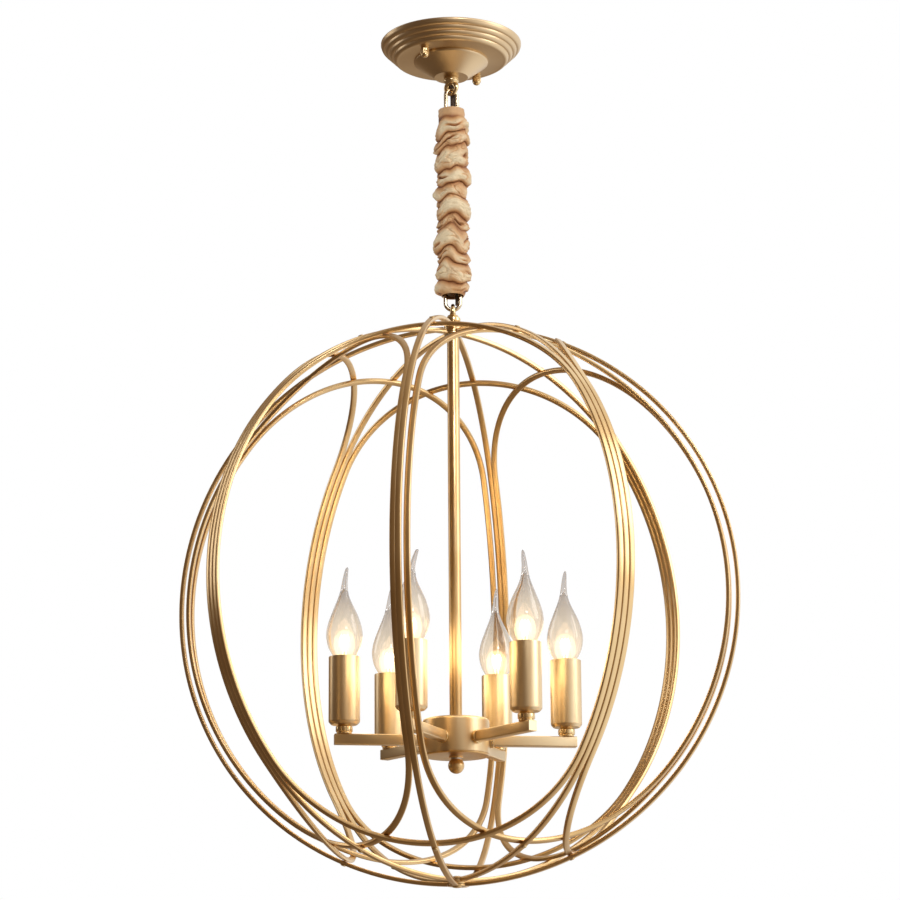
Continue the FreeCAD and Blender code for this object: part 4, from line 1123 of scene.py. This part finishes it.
ARM_Z = middle_of("arm_1").z
ARM_SIDE = 10.0
ARM_FROM, ARM_TO = 36.1, 116.5            # from the fitting's axis
STUB_FROM, STUB_RADIUS = 28.4, 4.0        # threaded stub through the hub's wall
NUT_FROM = 32.1
for k in CANDLES:
    turn = math.degrees(math.atan2(candle_axis[k].y, candle_axis[k].x))
    stub = eased([(0, 0), (STUB_RADIUS, 0), (STUB_RADIUS, 9.0), (0, 9.0)], 0.2)
    corners, faces = gathered_up([
        square_tube(turn, ARM_FROM, ARM_TO, ARM_SIDE),
        turned_towards(stub, direction(turn, 0), direction(turn, 0) * STUB_FROM * MM)])
    arm = mesh_piece(f"arm_tube_{k}", [c + UP * ARM_Z for c in corners], faces, candle_gold)
    hang(arm, "cage", [f"arm_{k}"])

parts = []
for k in CANDLES:
    out = candle_axis[k].normalized()
    nut = eased([(4.1, 0), (6.5, 0, 0.7), (6.5, 3.9, 0.7), (4.1, 3.9)], 0.3, 4)
    parts.append(turned_towards(nut, out, out * NUT_FROM * MM + UP * ARM_Z, 48))
arm_nuts = mesh_piece("arm_nut_rings", *gathered_up(parts), bright_brass)
hang(arm_nuts, "cage", ["arm_nuts"])
print("arms at height", round(ARM_Z, 4))

# %% [markdown]
# ## Candles
# A candle is a turned spool on the arm, a thin tube with a rounded foot and, inside it, the cream
# lampholder. The tube's rim is thin and open, so its inside and the holder show round the lamp.

# %% Spools, tubes and holders
collar_low_z, collar_high_z = span_mm("candle_collars")
spool_foot = span_mm("arm_1")[1]
spool = eased([(0, collar_low_z), (3.0, collar_low_z), (3.0, spool_foot), (7.3, spool_foot, 0.5),
               (7.3, spool_foot + 1.4, 0.4), (6.9, spool_foot + 1.7, 0.2),
               (8.1, spool_foot + 2.3, 0.9), (8.1, spool_foot + 6.9, 1.0),
               (6.2, spool_foot + 7.8, 0.3), (6.2, spool_foot + 9.0, 0.1), (3.0, spool_foot + 9.0),
               (3.0, collar_high_z), (0, collar_high_z)], 0.3, 4)
spools = mesh_piece("candle_spools", *gathered_up([
    turned(spool, 48, candle_axis[k]) for k in CANDLES]), bright_brass)
hang(spools, "cage", ["candle_collars"])

cup_low, cup_high = span_mm("candle_cup_1")
cup_outline = eased([(3.1, cup_low), (12.6, cup_low, 0.3), (15.0, cup_low + 2.6, 2.2),
                     (15.0, cup_high, 0.25), (14.1, cup_high, 0.25), (14.0, cup_low + 3.0, 1.0),
                     (12.0, cup_low + 1.0, 0.5), (3.1, cup_low + 1.0)], 0.3, 5)
for k in CANDLES:
    cup = mesh_piece(f"candle_tube_{k}", *turned(cup_outline, 88, candle_axis[k]), candle_gold)
    hang(cup, "cage", [f"candle_cup_{k}"])

hold_low, hold_high = span_mm("lamp_holders")
holder_outline = eased([(0, hold_low + 3.0), (3.1, hold_low + 3.0), (3.1, hold_low),
                        (8.5, hold_low), (8.5, hold_low + 28.0, 0.5),
                        (12.5, hold_low + 31.0, 0.5), (12.5, hold_high, 0.8),
                        (7.2, hold_high, 0.8), (7.2, hold_high - 24.6), (0, hold_high - 24.6)],
                       0.3, 3)
holders = mesh_piece("lamp_holder_set", *gathered_up([
    turned(holder_outline, 48, candle_axis[k]) for k in CANDLES]), holder_cream)
hang(holders, "cage", ["lamp_holders"])
print("candle tube height", round(cup_high - cup_low, 1), "mm")


# %% [markdown]
# ## Flame lamps
# The envelope is blown glass: a round belly, a waist drawn out in the flame, and a tip that was
# pulled and bent by hand, so no two lean alike. Inside stand a glass stem, its two wires and the
# glowing filament. The envelope needs a real thickness with an inner skin, or it would refract as
# a solid lens.

# %% Lamp envelopes
LEAN = {1: 1.2, 2: 0.8, 3: 2.5, 4: 2.6, 5: 6.0, 6: -1.4}      # of each tip, in millimetres
SIDEWAYS = Vector((math.cos(TURN), math.sin(TURN), 0))
WAIST = 48.0
seat = span_mm("lamp_glass_1")[0]


def smooth_line(points, steps=7):
    """Catmull-Rom line through (radius, height) points."""
    points = [Vector(p) for p in points]
    line = []
    for i in range(len(points) - 1):
        a = points[max(i - 1, 0)]
        b = points[i]
        c = points[i + 1]
        d = points[min(i + 2, len(points) - 1)]
        for k in range(steps):
            t = k / steps
            line.append(0.5 * ((2 * b) + (c - a) * t + (2 * a - 5 * b + 4 * c - d) * t ** 2
                               + (3 * b - a - 3 * c + d) * t ** 3))
    line.append(points[-1])
    return line


def lean_of(height, amount, tip):
    """Sideways shift in millimetres of the drawn tip: none up to the waist."""
    t = max(0.0, (height - WAIST) / (tip - WAIST))
    return amount * (t ** 2.2) - 0.9 * math.sin(t * math.pi) * math.copysign(1, amount)


def envelope(k):
    """Outer and inner skin of a lamp, its tip drawn out and bent to its own side."""
    tip = FLAME_TALL / MM - abs(LEAN[k]) * 0.5
    outer = smooth_line([(6.9, 0), (8.2, 3.0), (11.6, 8.0), (15.6, 16.0), (17.4, 25.5),
                         (16.7, 34.0), (14.0, 43.5), (10.3, 52.5), (6.6, 61.0), (4.0, 69.0),
                         (2.9, 77.0), (2.3, 85.0), (1.5, 91.5), (0.7, tip - 0.8)])
    inner = smooth_line([(1.4, 72.0), (3.2, 69.0), (5.8, 61.0), (9.5, 52.5), (13.2, 43.5),
                         (15.9, 34.0), (16.6, 25.5), (14.8, 16.0), (10.8, 8.0), (7.4, 3.0),
                         (6.1, 0)], 5)
    corners, faces = turned(outer + [(0, tip), (0, 73.5)] + inner, 64)
    foot = candle_axis[k] + UP * seat * MM
    bent = [foot + c + SIDEWAYS * lean_of(c.z / MM, LEAN[k], tip) * MM for c in corners]
    return bent, faces


for k in CANDLES:
    glass = mesh_piece(f"lamp_envelope_{k}", *envelope(k), clear_glass, 60.0)
    glass.visible_shadow = False
    hang(glass, f"lamp_{k}", [f"lamp_glass_{k}"])
print("lamp seat", round(seat, 1), "mm")


# %% [markdown]
# ## What glows in a lamp
# A glass stem carries two wires and a zigzag filament. A lit filament photographs as a soft ball
# of light, so thin see-through shells lie round it, the inner two whiter. A small point light in
# each lamp, which the camera doesn't see, warms the arms and bars near it.

# %% Lamp caps, stems and filaments
WIRES_LOW, WIRES_HIGH = 0.011, 0.024      # heights over the lamp's foot
HEAD_SPREAD = 0.0042


def lamp_cap(k):
    low, high = span_mm(f"lamp_cap_{k}")
    outline = [(0, low), (2.2, low + 0.2), (2.6, low + 1.2), (5.8, low + 3.4), (6.4, low + 4.2)]
    for t in np.linspace(0, 5, 41):
        outline.append((6.45 + 0.4 * math.cos(2 * math.pi * t), low + 5.0 + t * 2.8))
    outline += [(6.8, high - 4.4), (6.9, high - 3.6), (6.9, high), (0, high)]
    return turned(outline, 40, candle_axis[k])


def lamp_stem(base):
    outline = [(0, 0.3), (5.2, 0.3), (4.4, 3.0), (2.2, 6.0), (1.7, 9.5), (2.4, 11.0), (0, 11.6)]
    return turned(eased(outline, 0.4), 24, base)


def filament(base):
    """Two wires from the stem and the zigzag between their heads."""
    lower, upper = base + UP * WIRES_LOW, base + UP * WIRES_HIGH
    wires = []
    for side in (-1, 1):
        foot = lower + SIDEWAYS * side * 0.0012
        knee = lower + SIDEWAYS * side * 0.0030 + UP * 0.006
        head = upper + SIDEWAYS * side * HEAD_SPREAD
        wires.append(swept_wire([foot - UP * 0.003, foot, knee, head], 0.25 * MM, 8, False,
                                Vector((0, 0.2, 1)).cross(SIDEWAYS)))
    zigzag = [upper + SIDEWAYS * HEAD_SPREAD * (t / 3 - 1)
              + UP * (0.0035 if t % 2 else -0.0005) for t in range(7)]
    return gathered_up(wires + [swept_wire(zigzag, 0.45 * MM, 8, False, Vector((0, 1, 0.1)))])


print("cap, stem and filament shapes ready")

# %% Shells of glow and a light
GLOW_SHELLS = (2.4, 4.0, 6.4, 10.0)       # radii in millimetres
WHITE_SHELLS = 2
GLOW_STRETCH = 1.35
LAMP_POWER = 0.22
GLOW_AT, LIGHT_AT = 0.0185, 0.020         # heights over the lamp's foot


def glow_shells(centre):
    """Nested shells, a little taller than wide."""
    slopes = np.linspace(0, math.pi, 25)
    return gathered_up([
        turned([(reach * math.sin(a), -reach * GLOW_STRETCH * math.cos(a)) for a in slopes],
               40, centre) for reach in GLOW_SHELLS])


def lamp_light(k, place):
    data = bpy.data.lights.new(f"lamp_light_{k}", "POINT")
    data.energy = LAMP_POWER
    data.color = (1.0, 0.76, 0.44)
    data.shadow_soft_size = 0.03
    light = into_scene(f"lamp_light_{k}", data)
    light.location = place
    light.visible_camera = False
    light.visible_transmission = False
    light.parent = frame["bodies"][f"lamp_{k}"]


print("glow ready, widest shell", max(GLOW_SHELLS), "mm")

# %% Fit the lamps
for k in CANDLES:
    body = f"lamp_{k}"
    base = candle_axis[k] + UP * seat * MM
    cap = mesh_piece(f"lamp_screw_cap_{k}", *lamp_cap(k), nickel)
    hang(cap, body, [f"lamp_cap_{k}"])
    stem_piece = mesh_piece(f"lamp_stem_{k}", *lamp_stem(base), clear_glass, 60.0)
    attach(stem_piece, body)
    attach(mesh_piece(f"lamp_filament_{k}", *filament(base), hot_filament, 60.0), body)
    glow = mesh_piece(f"lamp_glow_{k}", *glow_shells(base + UP * GLOW_AT), halo, 60.0)
    glow.data.materials.append(halo_core)
    per_shell = len(glow.data.polygons) // len(GLOW_SHELLS)
    for face in glow.data.polygons[:WHITE_SHELLS * per_shell]:
        face.material_index = 1
    glow.visible_shadow = False
    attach(glow, body)
    lamp_light(k, base + UP * LIGHT_AT)
print("lamps lit")

# %% [markdown]
# ## Hidden hardware
# The bracket, its studs, the nuts and the links inside the sleeve keep their CAD shape: they are
# plain pressed or turned pieces. They only need a metal finish, assigned to the CAD node itself.

# %% Finishes on carried-over nodes
for node_name, finish in (("ceiling_bracket", zinc), ("bracket_studs", zinc),
                          ("canopy_locknut", zinc), ("crown_locknut", zinc),
                          ("hub_nipple", zinc), ("chain_links", link_brass)):
    node = frame["nodes"][node_name]
    node.data.materials.clear()
    node.data.materials.append(finish)
    node.data.shade_smooth()
    node.data.set_sharp_from_angle(angle=math.radians(35))
print("hidden hardware finished")

# %% [markdown]
# ## Studio
# The photograph has a white ground. The world is white to the camera and through glass. Cloth and
# plastic are lit by an even grey room, but metal shows what it mirrors, so to glossy rays the
# room is graded: white towards the back right, a warm brown towards the front left. A wide pale
# floor lies a room's height below, and the metal doesn't mirror it.

# %% White ground and graded room
ROOM_GREY = (0.38, 0.38, 0.38, 1)
BRIGHT_SIDE = Vector((0.88, 0.34, 0.24)).normalized()
ROOM_TONES = [(0.12, (0.12, 0.08, 0.05)), (0.36, (0.19, 0.13, 0.08)), (0.56, (0.42, 0.34, 0.26)),
              (0.78, (1.0, 1.0, 1.0))]


def seen_directly(add):
    """1 for what the camera sees, also through glass, and 0 for all other rays."""
    rays = add("ShaderNodeLightPath").outputs
    return add("ShaderNodeMath", {0: rays["Is Camera Ray"], 1: rays["Is Transmission Ray"]},
               operation="MAXIMUM").outputs[0]


scene = bpy.context.scene
scene.view_settings.view_transform = "Standard"
world = bpy.data.worlds.new("studio")
scene.world = world
world.use_nodes = True
world.node_tree.nodes.clear()
add = node_adder(world.node_tree)
towards = add("ShaderNodeVectorMath", {0: add("ShaderNodeTexCoord").outputs["Generated"]},
              operation="DOT_PRODUCT")
towards.inputs[1].default_value = BRIGHT_SIDE
share = add("ShaderNodeMapRange", {"Value": towards.outputs["Value"]}, From_Min=-1.0)
mirrored = add("ShaderNodeMix", {
    "B": ramp(add, share.outputs["Result"], ROOM_TONES),
    "Factor": add("ShaderNodeLightPath").outputs["Is Glossy Ray"]}, data_type="RGBA", A=ROOM_GREY)
room = add("ShaderNodeBackground", {"Color": mirrored.outputs["Result"]})
backdrop = add("ShaderNodeBackground", Color=(1, 1, 1, 1))
mix = add("ShaderNodeMixShader", {"Fac": seen_directly(add), 1: room.outputs[0],
                                  2: backdrop.outputs[0]})
add("ShaderNodeOutputWorld", {"Surface": mix.outputs[0]})
print("room tones", len(ROOM_TONES))


# %% Soft boxes
def soft_box(name, place, size, energy, target=BALL_CENTRE):
    data = bpy.data.lights.new(name, "AREA")
    data.shape = "RECTANGLE"
    data.size, data.size_y = size
    data.energy = energy
    lamp = into_scene(name, data)
    lamp.location = place
    lamp.rotation_euler = (target - Vector(place)).to_track_quat("-Z", "Y").to_euler()
    lamp.visible_camera = False
    return lamp


soft_box("key_right", (2.4, -0.2, 0.6), (1.2, 2.0), 20)
soft_box("fill_left", (-2.3, 0.4, 0.5), (0.8, 1.8), 7)
sleeve_light = soft_box("sleeve_front", (0.7, -1.7, 0.4), (0.4, 0.4), 0.36, Vector((0, 0, -0.17)))
sleeve_light.data.spread = math.radians(30)
print("three soft boxes hung")

# %% Pale floor
FLOOR_RADIUS, FLOOR_SIDES, FLOOR_Z = 30.0, 96, -2.6
FLOOR_GLOW = 0.52
floor_finish, floor_shader, floor_add = new_finish(
    "pale_floor", Roughness=0.9, Base_Color=(0.9, 0.9, 0.89, 1), Emission_Color=(1, 1, 1, 1))
feed(floor_shader, Emission_Strength=spread(floor_add, seen_directly(floor_add), 0.0, FLOOR_GLOW))
floor_finish.cycles.emission_sampling = "NONE"
corners = [Vector((FLOOR_RADIUS * math.cos(a), FLOOR_RADIUS * math.sin(a), FLOOR_Z))
           for a in np.linspace(0, 2 * math.pi, FLOOR_SIDES, endpoint=False)]
floor = mesh_piece("studio_floor", corners, [list(range(FLOOR_SIDES))], floor_finish)
floor.visible_glossy = False
print("studio ready")
